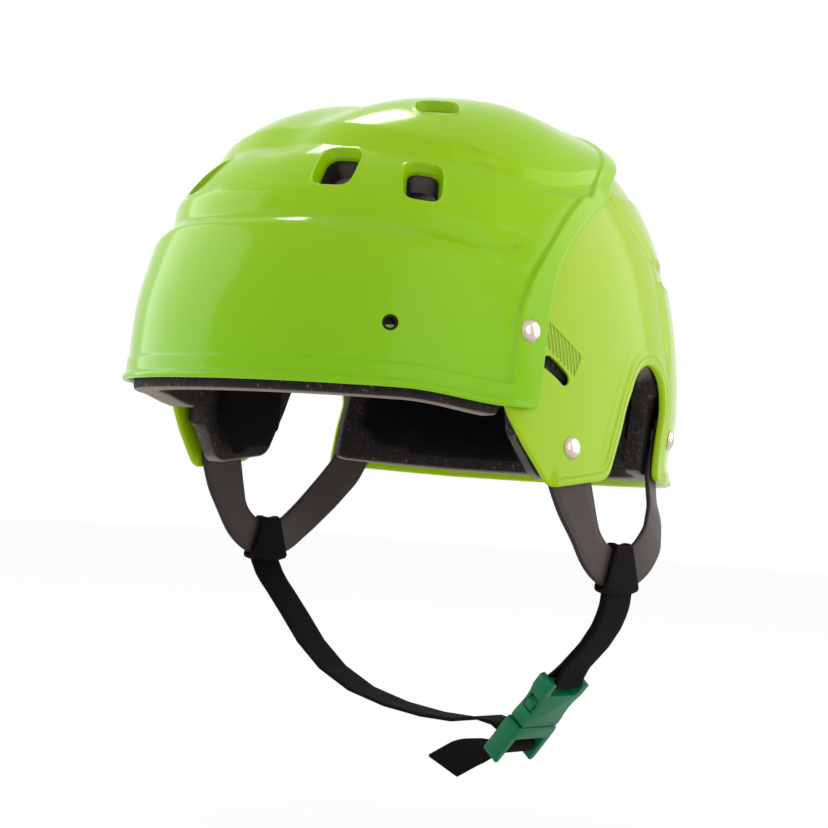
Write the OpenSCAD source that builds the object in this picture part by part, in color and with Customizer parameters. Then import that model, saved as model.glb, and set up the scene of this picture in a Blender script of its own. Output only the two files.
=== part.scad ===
// Skate helmet hanging by its dome: a two-piece riveted shell, foam liners,
// comfort pads, two ear straps and a chin strap with a side-release buckle.
// The origin is the middle of the head opening, level with the brim.
// +X is the wearer's left, -Y the front, +Z up. Azimuth 0 is the front, 90 the left.

/* [Shell size] */
// Half of the shell's width at the brim
half_width = 105.5; // [98:0.5:112]
// Middle of the opening to the front of the brim
front_reach = 131.5; // [124:0.5:140]
// Middle of the opening to the back of the shell
rear_reach = 131; // [124:0.5:140]
// Height of the smooth dome above the brim
dome_height = 130; // [122:0.5:138]
// Roundness of the outline seen from above, where 2 is an ellipse
plan_round = 2.165; // [2:0.005:2.4]
// Wall of both shells
shell_wall = 2.3; // [1.8:0.1:2.8]

/* [Shell relief] */
// How far the brim's bead stands out
bead_out = 1.4; // [0.8:0.1:2]
// Height of the band above the brim
band_height = 9; // [7:0.5:12]
// How far the band stands out
band_out = 0.8; // [0.4:0.1:1.4]
// Height of the first ledge at the front
ledge_height = 62.5; // [58:0.5:66]
// Depth of the first ledge
ledge_depth = 4; // [2:0.1:4.4]
// Height where the crown hump starts at the front
hump_height = 103; // [100:0.5:105]
// How far the crown hump stands out at the front
hump_out = 1.8; // [1:0.1:2.4]
// How far the crown hump stands out at the sides of the seam
hump_rear_out = 2.2; // [1.4:0.1:3]
// Depth of the channel along the middle of the crown
channel_depth = 4; // [2:0.1:5]
// Width of the raised strip along the seam, near the brim
strip_width = 14.5; // [12.5:0.5:16]
// How far the seam strip stands out
strip_out = 2.9; // [2.8:0.1:3.3]

/* [Seam and flaps] */
// How far the seam starts ahead of the middle at the brim
seam_ahead = 38; // [35:0.5:41]
// How far behind the middle the seam crosses the crown
seam_behind = 64; // [60:0.5:68]
// How far the rear shell reaches in under the front one
shell_lap = 11.4; // [11:0.1:11.8]
// Depth of the ear flaps below the brim
flap_drop = 34.5; // [31:0.5:38]
// Height of the ear arches above the brim
arch_height = 20.5; // [16:0.5:25]
// Depth of the neck guard below the brim
neck_drop = 31; // [28:0.5:36]
// Length of the slanted slot between its round ends
slot_length = 17; // [12:0.5:18]
// Width of the slanted slot
slot_width = 5.5; // [4:0.25:6.5]

/* [Vents] */
// Width of a vent, measured round the dome
vent_width = 15; // [12:0.5:17]
// Height of a vent
vent_height = 16; // [12:0.5:16.5]
// Azimuth of the inner pair of vents
inner_vent_az = 20.5; // [19:0.5:22]
// Azimuth of the outer pair of vents
outer_vent_az = 41.5; // [40:0.5:43]

/* [Liner and pads] */
// Thickness of the foam liners
liner_wall = 12; // [10:0.5:14]
// Thickness of the comfort pads
pad_wall = 8; // [6:0.5:10]
// Gap between the shells and the liners, and the liners and the pads
fit_gap = 0.3; // [0.2:0.05:0.5]
// Depth of the pockets in the rear liner for the ear straps
pocket_depth = 3.8; // [3.6:0.1:4.5]
// How far the front liner shows below the brim
liner_lip = 4; // [2:0.5:6]
// Lower edge of the brow pad above the brim
brow_low = 3; // [1:0.5:8]
// Upper edge of the brow pad above the brim
brow_high = 38; // [30:1:44]
// How far the temple pads' lower edges lie above the flaps'
temple_lift = 4; // [2:0.5:7]
// Upper edge of the temple pads above the brim
temple_high = 28; // [20:1:36]
// How far the nape pad's lower edge lies above the neck guard's
nape_low = 6; // [4:0.5:9]
// Upper edge of the nape pad above the brim
nape_high = 22; // [15:1:30]

/* [Fasteners] */
// Radius of a rivet's domed cap
rivet_cap_r = 5; // [4:0.25:6]
// Height of a rivet's domed cap
rivet_cap_h = 2.2; // [1.6:0.1:3]
// Radius of a rivet's shank
rivet_shank_r = 2; // [1.5:0.1:2.4]
// Radius of the washer behind a rivet
washer_r = 5.5; // [4.5:0.25:6.5]
// Thickness of the washer behind a rivet
washer_t = 0.8; // [0.6:0.1:1]
// Radius of the threaded bore of a visor insert
insert_bore_r = 2.1; // [1.6:0.1:2.4]
// Outer radius of a visor insert
insert_r = 3.1; // [2.8:0.1:3.6]
// Length of a visor insert
insert_length = 9; // [7:0.5:11]

/* [Ear straps] */
// Thickness of an ear strap
ear_strap_t = 2; // [1.4:0.1:2.2]
// Half of an ear strap's width round its lower curve
ear_strap_half = 8.5; // [7:0.25:9.5]
// Radius of the lower curve, to the strap's middle line
curve_r = 27; // [25:0.5:28]
// How far the lower curve lies inside the shell's widest place
curve_inset = 1; // [0:0.5:2]
// How far the lower curve's centre lies behind the middle
curve_y = 20; // [18:0.5:22]
// How far the lower curve's centre lies below the brim
curve_drop = 40; // [38:0.5:42]

/* [Chin strap] */
// Width of the webbing
web_width = 18; // [15:0.5:20]
// Thickness of the webbing
web_t = 1.6; // [1.2:0.1:1.8]
// Gap round an ear strap inside a sewn loop
loop_gap = 0.7; // [0.5:0.05:0.9]
// Depth of the chin strap's lowest point below the brim
chin_drop = 138; // [132:0.5:142]
// Length of the loose tail
tail_length = 42; // [30:1:60]

/* [Buckle] */
// Length of the closed buckle
buckle_length = 46; // [44:0.5:50]
// Width of the buckle
buckle_width = 27; // [26:0.5:30]
// Thickness of the buckle
buckle_t = 9; // [8.5:0.25:10]
// Wall of the buckle's socket
socket_wall = 1.6; // [1.4:0.1:1.8]
// Running clearance between the plug and the socket
buckle_gap = 0.4; // [0.3:0.05:0.5]
// Slope of the buckle, up towards the wearer's left
buckle_slope = 51; // [48:0.5:54]
// Side distance of the buckle's middle from the middle of the helmet
buckle_x = 66.5; // [65:0.5:68]
// Depth of the buckle's middle below the brim
buckle_drop = 132; // [130:0.5:134]

/* [Hidden] */

lime = [0.58, 0.80, 0.05];
foam_grey = [0.24, 0.22, 0.20];
pad_black = [0.05, 0.05, 0.05];
nickel = [0.80, 0.76, 0.72];
strap_brown = [0.20, 0.17, 0.16];
web_black = [0.06, 0.06, 0.06];
buckle_green = [0.05, 0.50, 0.34];

// Side distance of the ear straps' lower curves from the middle
curve_x = half_width - curve_inset;

// How fast each half outline shrinks with height
side_fade = 0.553;
front_fade = 0.853;
rear_fade = 0.62;

function clamp(v, a, b) = min(max(v, a), b);
function smooth(a, b, v) = let (t = clamp((v - a) / (b - a), 0, 1)) t * t * (3 - 2 * t);
function rise(a, b, v) = clamp((v - a) / (b - a), 0, 1);
function mix(a, b, t) = a + (b - a) * t;

// Radius of the smooth dome at an azimuth and a height
function dome_r(az, z) =
    let (
        k = sqrt(max(1 - pow(max(z, 0) / dome_height, 2), 0.000001)),
        side = half_width * pow(k, side_fade),
        long = cos(az) > 0 ? front_reach * pow(k, front_fade) : rear_reach * pow(k, rear_fade),
        r = pow(pow(abs(sin(az)) / side, plan_round) + pow(abs(cos(az)) / long, plan_round),
            -1 / plan_round),
        d = abs(az),
        neck = smooth(115, 135, d)
    )
    z > 0 ? r : r - 0.06 * z * (1 - smooth(95, 115, d))
        - 3 * smooth(0, -22, z) * neck + 2.2 * smooth(-22, -33, z) * neck;

// Tilt of the dome's surface at a height
function dome_tilt(z) = asin(clamp(z / dome_height, 0, 1));

// Heights of the relief lines at an azimuth
function ledge_z(d) = ledge_height - 5 * smooth(13, 35, d) - 6.5 * smooth(45, 66, d);
function ledge_end_z(d) = ledge_height + 6.5 - 8.5 * smooth(25, 60, d);
function shelf_z(d) = ledge_height + 14.5 - 11 * smooth(22, 63, d);
function hump_z(d) = hump_height - 8 * smooth(0, 45, d) - 5 * smooth(50, 75, d) + 7 * smooth(78, 112, d);
function hump_top_z(d) = hump_z(d) + 8.5 - 4.5 * smooth(30, 60, d);
function vent_z(d) = hump_height - 14.7 - 8 * smooth(12, 55, d);
// How far the crown hump stands out, less over the back of the crown
function hump_h(az, z) =
    let (y = -dome_r(az, z) * cos(az))
    mix(hump_out, hump_rear_out, smooth(-70, 70, y)) - 1.8 * smooth(104, 120, z) * smooth(-10, 30, y);
function hump_relief(az, z) = hump_h(az, z) * rise(hump_z(abs(az)), hump_top_z(abs(az)), z);

// How far the front shell stands out of the smooth dome
function front_relief(az, z) =
    let (
        d = abs(az),
        w = 1 - smooth(50, 70, d),
        a = ledge_z(d),
        c = ledge_end_z(d),
        b = shelf_z(d),
        h = hump_z(d),
        bead = bead_out * (1 - smooth(-0.6, 0.9, z)) * (1 - smooth(66, 72, d)),
        band = band_out * (1 - smooth(band_height - 0.8, band_height + 0.4, z)) * (1 - smooth(60, 66, d)),
        brow = 1.2 * rise(10, 34, z) + 0.7 * rise(46, a, z) - (ledge_depth + 0.1) * rise(a, c, z),
        upper = (ledge_depth - 0.6) * rise(c, b, z) - 1 * rise(b, h - 8, z) - 1.4 * rise(h - 8, h, z)
            + 1.2 * rise(h, hump_top_z(d), z)
    )
    bead + band + w * (brow + upper) + hump_relief(az, z);

// A point on the dome, a distance off its smooth surface
function on_dome(az, z, off) =
    let (
        t = dome_tilt(z),
        r = dome_r(az, z) + off * cos(t),
        x = r * sin(az),
        y = -r * cos(az),
        channel = channel_depth * exp(-pow(x / 15, 2)) * smooth(88, 108, z) * smooth(75, 20, y)
    )
    [x, y, z + (off - channel) * sin(t)];

// The seam seen from the side: a curve up to this height, then a straight line over the crown
seam_knee = 86;
function seam_y(z) =
    let (low = min(z, seam_knee))
    0.1 * low - seam_ahead + 78 * pow(max(low, 0) / 100, 3.7) + seam_slope(seam_knee) * max(z - seam_knee, 0);
function seam_slope(z) =
    z < seam_knee ? 0.1 + 2.886 * pow(max(z, 0) / 100, 2.7) : (seam_behind + seam_ahead - 53.2) / 37.3;
// Share of the lap and of the strip's width left at a height, as both narrow above the rivet
function lap_share(z) = 1 - 0.5 * smooth(33, 46, z);

// Height at which an azimuth meets the seam moved back by a distance, or the floor given
function seam_z(az, back, low, high = dome_height - 0.01, n = 26) =
    n == 0 ? high :
    let (
        m = (low + high) / 2,
        r = dome_r(az, m),
        ahead = -r * cos(az) < seam_y(m) + back * lap_share(m)
    )
    ahead ? seam_z(az, back, low, m, n - 1) : seam_z(az, back, m, high, n - 1);

function brim_z(d) = -4 * smooth(40, 62, d);

// How far the strip along the seam stands out
function strip_relief(az, z) =
    let (
        p = on_dome(az, z, 0),
        gap = (seam_y(z) - p.y) / sqrt(1 + pow(seam_slope(z), 2)),
        width = strip_width - 7 * smooth(42, 66, z) + 1.5 * smooth(80, 100, z)
    )
    strip_out * smooth(width + 0.9, width - 0.9, gap);

function front_out(az, z) = front_relief(az, z) + strip_relief(az, z);

// A wall between an outer and an inner net of points, whose rows run up from the edge.
// Cells that is_open names are left out, and their sides are walled.
module net_wall(outer, inner, is_loop, apex, is_open) {
    m = len(outer);
    n = len(outer[0]);
    cells = is_loop ? n : n - 1;
    function at(side, j, i) = (side * m + j) * n + (i + n) % n;
    function kept(i, j) = j >= 0 && j < m - 1 && (is_loop || (i >= 0 && i < cells))
        && !is_open((i + n) % n, j);
    capped = !is_undef(apex);
    top = 2 * m * n;
    faces = [
        for (j = [0:m - 2]) for (i = [0:cells - 1]) if (kept(i, j))
            let (
                a = at(0, j, i), b = at(0, j, i + 1), c = at(0, j + 1, i + 1), d = at(0, j + 1, i),
                e = at(1, j, i), f = at(1, j, i + 1), g = at(1, j + 1, i + 1), h = at(1, j + 1, i),
                last = capped && j == m - 2
            )
            each concat(
                [[a, d, c], [a, c, b], [e, f, g], [e, g, h]],
                kept(i, j - 1) ? [] : [[a, b, f], [a, f, e]],
                kept(i, j + 1) || last ? [] : [[c, d, h], [c, h, g]],
                kept(i - 1, j) ? [] : [[d, a, e], [d, e, h]],
                kept(i + 1, j) ? [] : [[b, c, g], [b, g, f]]
            ),
        if (capped) for (i = [0:n - 1]) each [
            [at(0, m - 1, i), top, at(0, m - 1, i + 1)],
            [at(1, m - 1, i), at(1, m - 1, i + 1), top + 1]
        ]
    ];
    points = concat([for (row = outer) each row], [for (row = inner) each row], capped ? apex : []);
    polyhedron(points, faces, convexity = 8);
}

// Columns of the front shell, from the front round the left side to the back
vent_step = atan(vent_width / 2 / 95);
crown_vent_az = 53;
front_half = [9, inner_vent_az - vent_step, inner_vent_az, inner_vent_az + vent_step, 31,
    outer_vent_az - vent_step, outer_vent_az, outer_vent_az + vent_step, crown_vent_az, 59, 62.3, 64.3, 67,
    69.2, 69.8, 70.7, 72, 74, 77.5, 82, 87, 93, 99, 106, 115, 127, 142, 160];
function both_ways(half) = concat([0], half, [180], [for (i = [len(half) - 1:-1:0]) -half[i]]);
front_az = both_ways(front_half);
// Rows of the front shell as heights at the azimuths ahead of the seam
function front_rows(d) = [0.9, band_height - 0.8, band_height + 0.4, 22, 34, ledge_z(d),
    ledge_end_z(d), shelf_z(d), vent_z(d) - vent_height / 2, vent_z(d) + vent_height / 2,
    hump_z(d), hump_top_z(d),
    for (t = [0.53, 0.75, 0.89, 0.97]) mix(hump_height, dome_height, t)];
vent_row = 9;
crown_vent_row = 13;
crown_pad_row = 14;
function front_z(az, back, low, j) =
    let (d = abs(az), edge = seam_z(az, back, low))
    j == 0 ? edge : mix(edge, dome_height, (front_rows(d)[j - 1] - low) / (dome_height - low));

function front_net(back, lip, off, relief) =
    [for (j = [0:len(front_rows(0))]) [for (az = front_az)
        let (z = front_z(az, back, brim_z(abs(az)) - lip, j)) on_dome(az, z, relief(az, z) - off)]];
function crown_point(off) = [0, 0, dome_height - channel_depth + off];
function is_vent(i, j) =
    let (d = (abs(front_az[i]) + abs(front_az[(i + 1) % len(front_az)])) / 2)
    j == vent_row ? min(abs(d - inner_vent_az), abs(d - outer_vent_az)) < vent_step :
    j == crown_vent_row && d > outer_vent_az - vent_step && d < crown_vent_az;

crown_out = hump_h(0, dome_height - 0.01);
module front_shell() {
    color(lime)
    difference() {
        net_wall(
            front_net(0, 0, 0, function (az, z) front_out(az, z)),
            front_net(0, 0, shell_wall, function (az, z) front_out(az, z)),
            true, [crown_point(crown_out), crown_point(crown_out - shell_wall)],
            function (i, j) is_vent(i, j));
        both_sides() {
            at_rivet(seam_rivet) cylinder(r = rivet_shank_r + 0.1, h = 30, center = true, $fn = 32);
            at_rivet(visor_place) cylinder(r = insert_r + 0.1, h = 12, center = true, $fn = 32);
        }
    }
}

// How far the rear shell lies inside the smooth dome
rear_inset = 0.36;
// Places on the shell as azimuth, height and distance off the dome
seam_rivet = [67, 26.5, strip_out];
flap_rivet = [80.5, -18, -rear_inset];
nape_rivet = [127.7, -10, rear_relief(127.7, -10) - rear_inset];
visor_place = [37.5, 25, 0];

module both_sides() {
    children();
    mirror([1, 0, 0]) children();
}

// Carries its child to a place on the shell, with +Z out of the shell
module at_rivet(place) {
    translate(on_dome(place[0], place[1], place[2]))
        rotate([0, 90 - shell_lean(place), shell_turn(place) - 90])
            children();
}
// Azimuth that the shell faces at a place, and how far it leans in
function shell_turn(place) =
    let (v = on_dome(place[0] + 2, place[1], 0) - on_dome(place[0] - 2, place[1], 0))
    atan2(v.y, v.x);
function shell_lean(place) =
    let (
        v = on_dome(place[0], place[1] + 4, 0) - on_dome(place[0], place[1] - 4, 0),
        turn = shell_turn(place)
    )
    atan2(v.y * cos(turn) - v.x * sin(turn), v.z);

// Columns of the rear shell on the left side, from the flap's front edge to the back
flap_az = [61.6, 63.5, 66, 69.5, 73.2, 75, 80.5, 86, 92, 93.8, 96, 98.5, 100.5, 102.8, 105.5,
    108.5, 111.5, 114.5, 117, 118.8, 119.6, 124, 130, 138, 146, 154.5, 163, 171.5];
rear_az = concat(flap_az, [180], [for (i = [len(flap_az) - 1:-1:0]) 360 - flap_az[i]]);

// Lower edge of the rear shell: the flap, the ear arch and the neck guard
function low_edge(az) =
    let (d = az > 180 ? 360 - az : az)
    d < 73.2 ? mix(-3, 1 - flap_drop, (d - 60.3) / 12.9) :
    d < 75 ? mix(1 - flap_drop, -flap_drop, (d - 73.2) / 1.8) :
    d < 92 ? mix(-flap_drop, 4.5 - flap_drop, (d - 75) / 17) :
    d < 93.8 ? mix(4.5 - flap_drop, 7 - flap_drop, (d - 92) / 1.8) :
    d < 102.8 ? mix(7 - flap_drop, arch_height - 9, (d - 93.8) / 9) :
    d < 119.2 ? arch_height - 16.5 + 16.5 * sqrt(1 - pow((d - 111) / 8.4, 2) * 0.97) :
    mix(3 - neck_drop, -neck_drop, smooth(119.2, 170, d));

function signed(az) = az > 180 ? az - 360 : az;
// The rear panel stands out in three low steps behind the side panels
function rear_relief(az, z) =
    let (d = abs(signed(az)), w = smooth(121, 129, d))
    w * (1.2 * smooth(97, 92, z) * smooth(66, 69, z) - 0.4 + 1.6 * smooth(60, 56, z));
function rear_rows() = [0, 0.12, 0.24, 0.36, 0.46, 0.52, 0.60, 0.66, 0.80, 0.90, 1];
function rear_z(az, back, lift, drop, t) =
    mix(low_edge(az) + lift, seam_z(signed(az), back, -4.6) - drop, t);
function rear_net(back, lift, drop, off, relief) =
    [for (t = rear_rows()) [for (az = rear_az)
        let (z = rear_z(az, back, lift, drop, t)) on_dome(signed(az), z, relief(az, z) - off)]];

// The slanted slot in the rear shell, from its round lower end up under the seam strip
slot_angle = 59;
slot_place = [77.6, 10, 0];
module rear_shell() {
    color(lime)
    difference() {
        net_wall(
            rear_net(-shell_lap, 0, 0, rear_inset, function (az, z) rear_relief(az, z)),
            rear_net(-shell_lap, 0, 0, rear_inset + shell_wall, function (az, z) rear_relief(az, z)),
            false, undef, function (i, j) false);
        both_sides() {
            at_rivet(seam_rivet) cylinder(r = rivet_shank_r + 0.1, h = 30, center = true, $fn = 32);
            at_rivet(flap_rivet) cylinder(r = rivet_shank_r + 0.1, h = 12, center = true, $fn = 32);
            at_rivet(nape_rivet) cylinder(r = rivet_shank_r + 0.1, h = 12, center = true, $fn = 32);
            at_rivet(slot_place) linear_extrude(12, center = true) slot_outline();
        }
    }
}
// Drawn with X down and Y to the back, its origin at the slot's lower end
module slot_outline() {
    rotate(slot_angle) {
        translate([-slot_length / 2, 0]) square([slot_length, slot_width], center = true);
        circle(d = slot_width, $fn = 24);
        translate([-slot_length, 0]) circle(d = slot_width, $fn = 24);
    }
}

// Foam liners follow the shells inside, but not the crown hump behind the vents
function liner_relief(az, z) =
    front_relief(az, z) - hump_relief(az, z) * smooth(-60, -25, -dome_r(az, z) * cos(az)) - 0.9 * smooth(46, 58, abs(az));
module front_liner() {
    off = shell_wall + fit_gap + 0.4;
    deep = shell_wall + fit_gap + liner_wall;
    back = -strip_width - 1;
    color(foam_grey)
    difference() {
        net_wall(
            front_net(back, liner_lip, off, function (az, z) liner_relief(az, max(z, 1))),
            front_net(back, liner_lip, deep, function (az, z) 0),
            true, [crown_point(-off - 0.5), crown_point(-deep)], function (i, j) is_vent(i, j));
        // A groove from each insert down to the lower edge, so the foam slides in from below
        both_sides() at_rivet(visor_place)
            translate([-flange_r - fit_gap, -flange_r - fit_gap, -insert_length - 2])
                cube([flange_r + fit_gap + visor_place[1] + 2 * liner_lip + 12,
                    2 * (flange_r + fit_gap), insert_length + 4]);
    }
}

liner_lift = 3;
liner_az = [for (az = rear_az) if (az > 64 && az < 296) az];
// Share of the full pocket depth behind the shell, where an ear strap lies
function pocket(d, z) =
    (1 - smooth(4, 10, z)) * (smooth(65, 67, d) * (1 - smooth(92, 95, d))
        + smooth(112, 116, d) * (1 - smooth(136, 141, d)));
function rear_liner_net(off, depth) =
    [for (t = rear_rows()) [for (az = liner_az)
        let (z = rear_z(az, 1 - shell_lap, liner_lift, 0, t))
        on_dome(signed(az), z, -off - depth * pocket(abs(signed(az)), z))]];
module rear_liner() {
    off = rear_inset + 0.4 + shell_wall + fit_gap;
    color(foam_grey)
    difference() {
        net_wall(rear_liner_net(off, pocket_depth), rear_liner_net(off + liner_wall - 0.6, 0),
            false, undef, function (i, j) false);
        both_sides() for (place = [seam_rivet, flap_rivet, nape_rivet])
            at_rivet([place[0], place[1], 0])
                translate([0, 0, -strap_depth - ear_strap_t / 2 - washer_t - 2.4])
                    cylinder(r = washer_r + 0.5, h = 14, $fn = 32);
    }
}

// A comfort pad on the inside of a liner, over a list of azimuths
pad_off = shell_wall + 2 * fit_gap + liner_wall + 0.6;
module pad(az_list, low, high) {
    rows = [0, 0.33, 0.67, 1];
    function net(off) = [for (t = rows) [for (az = az_list)
        on_dome(signed(az), mix(low(signed(az)), high, t), -off)]];
    color(pad_black) net_wall(net(pad_off), net(pad_off + pad_wall), false, undef, function (i, j) false);
}
module brow_pad() {
    pad([for (az = [-50:10:50]) az], function (az) brow_low, brow_high);
}
module left_temple_pad() {
    pad([66, 70, 73.2, 75, 80.5, 86, 92, 95], function (az) low_edge(abs(az)) + temple_lift, temple_high);
}
module right_temple_pad() {
    mirror([1, 0, 0]) left_temple_pad();
}
module nape_pad() {
    pad([for (az = rear_az) if (az > 123 && az < 237) az], function (az) nape_low - neck_drop, nape_high);
}
module crown_pad() {
    function net(off) = [for (j = [crown_pad_row + 1:len(front_rows(0))]) [for (az = front_az)
        on_dome(az, front_z(az, -strip_width - 1, brim_z(abs(az)) - liner_lip, j), -off)]];
    color(pad_black)
    net_wall(net(pad_off), net(pad_off + pad_wall), true,
        [crown_point(-pad_off), crown_point(-pad_off - pad_wall)], function (i, j) false);
}

// A flat band swept along stations of [middle, half width, width direction, face direction]
module band(stations, thick) {
    n = len(stations);
    points = [for (s = stations) each [for (c = [[-1, -1], [1, -1], [1, 1], [-1, 1]])
        s[0] + c[0] * s[1] * s[2] + c[1] * thick / 2 * s[3]]];
    faces = [
        [2, 1, 0], [3, 2, 0],
        for (i = [0:n - 2]) for (k = [0:3])
            let (a = 4 * i + k, b = 4 * i + (k + 1) % 4) each [[b + 4, a + 4, a], [b, b + 4, a]],
        [4 * n - 3, 4 * n - 2, 4 * n - 1], [4 * n - 4, 4 * n - 3, 4 * n - 1]
    ];
    polyhedron(points, faces, convexity = 6);
}
function unit(v) = v / norm(v);

// Ear strap: behind the shell it keeps a depth, and between them a station is
// [x, y, z, half width, azimuth its face looks to]
strap_depth = rear_inset + shell_wall + ear_strap_t / 2 + 0.8;
function strap_place(az, z, half) =
    concat(on_dome(az, z, -strap_depth), [half, shell_turn([az, z])]);
strap_front = [
    strap_place(79.8, -7, 11.5),
    strap_place(80, -18, 12.5),
    strap_place(81.4, -28, 12.6),
    [curve_x - 1.2, curve_y - 31, 1 - curve_drop, 11.6, 88]
];
strap_rear = [
    [curve_x - 1.3, curve_y + 25.4, -13.6 - curve_drop, 8.7, 95],
    [curve_x - 6.1, curve_y + 33, -3 - curve_drop, 9, 103],
    [curve_x - 12.8, curve_y + 38.4, 8.5 - curve_drop, 9, 111],
    strap_place(125, -20, 9),
    strap_place(127.6, -10, 9),
    strap_place(127.8, -2, 8.6)
];
curve_start = -60;
curve_end = 42;
function curve_point(a, r = curve_r) = [curve_x, curve_y + r * sin(a), -curve_drop - r * cos(a)];
strap_curve = [for (a = [curve_start:8.5:curve_end]) concat(curve_point(a), [ear_strap_half, 90])];
strap_line = concat(strap_front, strap_curve, strap_rear);
function strap_station(i) =
    let (
        s = strap_line[i],
        before = strap_line[max(i - 1, 0)],
        after = strap_line[min(i + 1, len(strap_line) - 1)],
        along = unit([after[0] - before[0], after[1] - before[1], after[2] - before[2]]),
        face = [sin(s[4]), -cos(s[4]), 0],
        wide = unit(cross(along, face))
    )
    [[s[0], s[1], s[2]], s[3], wide, unit(cross(wide, along))];
module left_ear_strap() {
    color(strap_brown)
    difference() {
        band([for (i = [0:len(strap_line) - 1]) strap_station(i)], ear_strap_t);
        at_rivet(flap_rivet) cylinder(r = rivet_shank_r + 0.1, h = 30, center = true, $fn = 32);
        at_rivet(nape_rivet) cylinder(r = rivet_shank_r + 0.1, h = 30, center = true, $fn = 32);
    }
}
module right_ear_strap() {
    mirror([1, 0, 0]) left_ear_strap();
}

// A domed cap outside, a shank through and a spread tail behind the washer
module rivet(grip) {
    crown_r = (rivet_cap_r * rivet_cap_r + rivet_cap_h * rivet_cap_h) / (2 * rivet_cap_h);
    tail = grip + washer_t;
    color(nickel) {
        intersection() {
            translate([0, 0, rivet_cap_h - crown_r + cap_seat]) sphere(r = crown_r, $fn = 48);
            translate([0, 0, cap_seat]) cylinder(r = rivet_cap_r + 1, h = rivet_cap_h, $fn = 48);
        }
        translate([0, 0, -tail - 0.6]) cylinder(r = rivet_shank_r, h = tail + 0.6 + cap_seat, $fn = 32);
        translate([0, 0, -tail - 0.8]) cylinder(r = rivet_shank_r + 1.2, h = 0.7, $fn = 32);
    }
}
module washer(grip) {
    color(nickel)
    translate([0, 0, -grip - washer_t])
    difference() {
        cylinder(r = washer_r, h = washer_t, $fn = 48);
        translate([0, 0, -1]) cylinder(r = rivet_shank_r + 0.1, h = washer_t + 2, $fn = 32);
    }
}
// How far a cap's rim stands off its curved seat
cap_seat = 0.25;
seam_grip = strip_out + rear_inset + shell_wall + 0.6;
flap_grip = flap_rivet[2] + strap_depth + ear_strap_t / 2 + 0.2;
nape_grip = nape_rivet[2] + strap_depth + ear_strap_t / 2 + 0.2;
module seam_rivets() { both_sides() at_rivet(seam_rivet) rivet(seam_grip); }
module flap_rivets() { both_sides() at_rivet(flap_rivet) rivet(flap_grip); }
module nape_rivets() { both_sides() at_rivet(nape_rivet) rivet(nape_grip); }
module seam_washers() { both_sides() at_rivet(seam_rivet) washer(seam_grip); }
module flap_washers() { both_sides() at_rivet(flap_rivet) washer(flap_grip); }
module nape_washers() { both_sides() at_rivet(nape_rivet) washer(nape_grip); }

// A threaded sleeve for a visor screw, with a flange behind the shell
flange_r = insert_r + 2;
module left_visor_insert() {
    color(pad_black)
    at_rivet(visor_place)
    difference() {
        union() {
            translate([0, 0, -insert_length - 0.4]) cylinder(r = insert_r, h = insert_length, $fn = 48);
            translate([0, 0, -shell_wall - 1.4]) cylinder(r = flange_r, h = 1, $fn = 48);
        }
        translate([0, 0, -insert_length - 2]) cylinder(r = insert_bore_r, h = insert_length + 4, $fn = 48);
    }
}
module right_visor_insert() { mirror([1, 0, 0]) left_visor_insert(); }

// A sewn loop round an ear strap, bent with the strap's lower curve
module left_sewn_loop() {
    sweep = web_width / curve_r * 180 / PI;
    in_w = ear_strap_t + 2 * loop_gap;
    in_h = 2 * (ear_strap_half + loop_gap);
    color(web_black)
    translate([curve_x, curve_y, -curve_drop])
    rotate([0, 90, 0]) rotate(-sweep / 2)
    rotate_extrude(angle = sweep, $fn = 96)
        translate([curve_r, 0]) difference() {
            loop_outline(in_h + 2 * web_t, in_w + 2 * web_t);
            square([in_h, in_w], center = true);
        }
}
module loop_outline(h, w) {
    r = web_t * 0.9;
    square([h - 2 * r, w], center = true);
    square([h, w - 2 * r], center = true);
    for (i = [-1, 1]) for (j = [-1, 1])
        translate([i * (h / 2 - r), j * (w / 2 - r)]) circle(r = r, $fn = 24);
}
module right_sewn_loop() { mirror([1, 0, 0]) left_sewn_loop(); }

// Webbing stations in the strap's own plane: [x, z]
loop_foot = -curve_drop - curve_r - ear_strap_half - loop_gap - web_t - 0.1;
function web_station(line, i) =
    let (
        before = line[max(i - 1, 0)],
        after = line[min(i + 1, len(line) - 1)],
        along = unit([after.x - before.x, 0, after.y - before.y])
    )
    [[line[i].x, curve_y, line[i].y], web_width / 2, [0, 1, 0], cross([0, 1, 0], along)];
module web(line, thick) {
    color(web_black) band([for (i = [0:len(line) - 1]) web_station(line, i)], thick);
}

// A place in the buckle's frame, x along it to the wearer's left, z to the chin, as [x, z]
function from_buckle(p) = [
    buckle_x + p.x * cos(buckle_slope) - p.y * sin(buckle_slope),
    -buckle_drop + p.x * sin(buckle_slope) + p.y * cos(buckle_slope)
];
module at_buckle() {
    translate([buckle_x, curve_y, -buckle_drop]) rotate([0, -buckle_slope, 0]) children();
}

half_len = buckle_length / 2;
end_bar_x = half_len - 1.7;
end_bar_r = 1.6;
wrap_r = end_bar_r + 0.3 + web_t;
// The left webbing runs down from its loop, round the socket's end bar and up again beside itself
left_line = [[curve_x, loop_foot], [curve_x, loop_foot - 1], [curve_x - 0.6, loop_foot - 5],
    [curve_x - 4.2, loop_foot - 13], [curve_x - 9.8, loop_foot - 21], from_buckle([end_bar_x + 9, 0])];
function beside(line, i, shift) =
    let (along = unit(line[min(i + 1, len(line) - 1)] - line[max(i - 1, 0)]))
    line[i] + shift * [-along.y, along.x];
module left_webbing() {
    last = len(left_line) - 1;
    half = web_t / 2 + 0.1;
    lay = wrap_r - web_t / 2;
    web(concat(
        [for (i = [0:last]) beside(left_line, i, -half)],
        [from_buckle([end_bar_x + 4.5, 1.6])],
        [for (a = [60:30:300]) from_buckle([end_bar_x + lay * cos(a), lay * sin(a)])],
        [from_buckle([end_bar_x + 4.5, -1.6])],
        [for (i = [last:-1:0]) beside(left_line, i, half)]), web_t);
}

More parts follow.
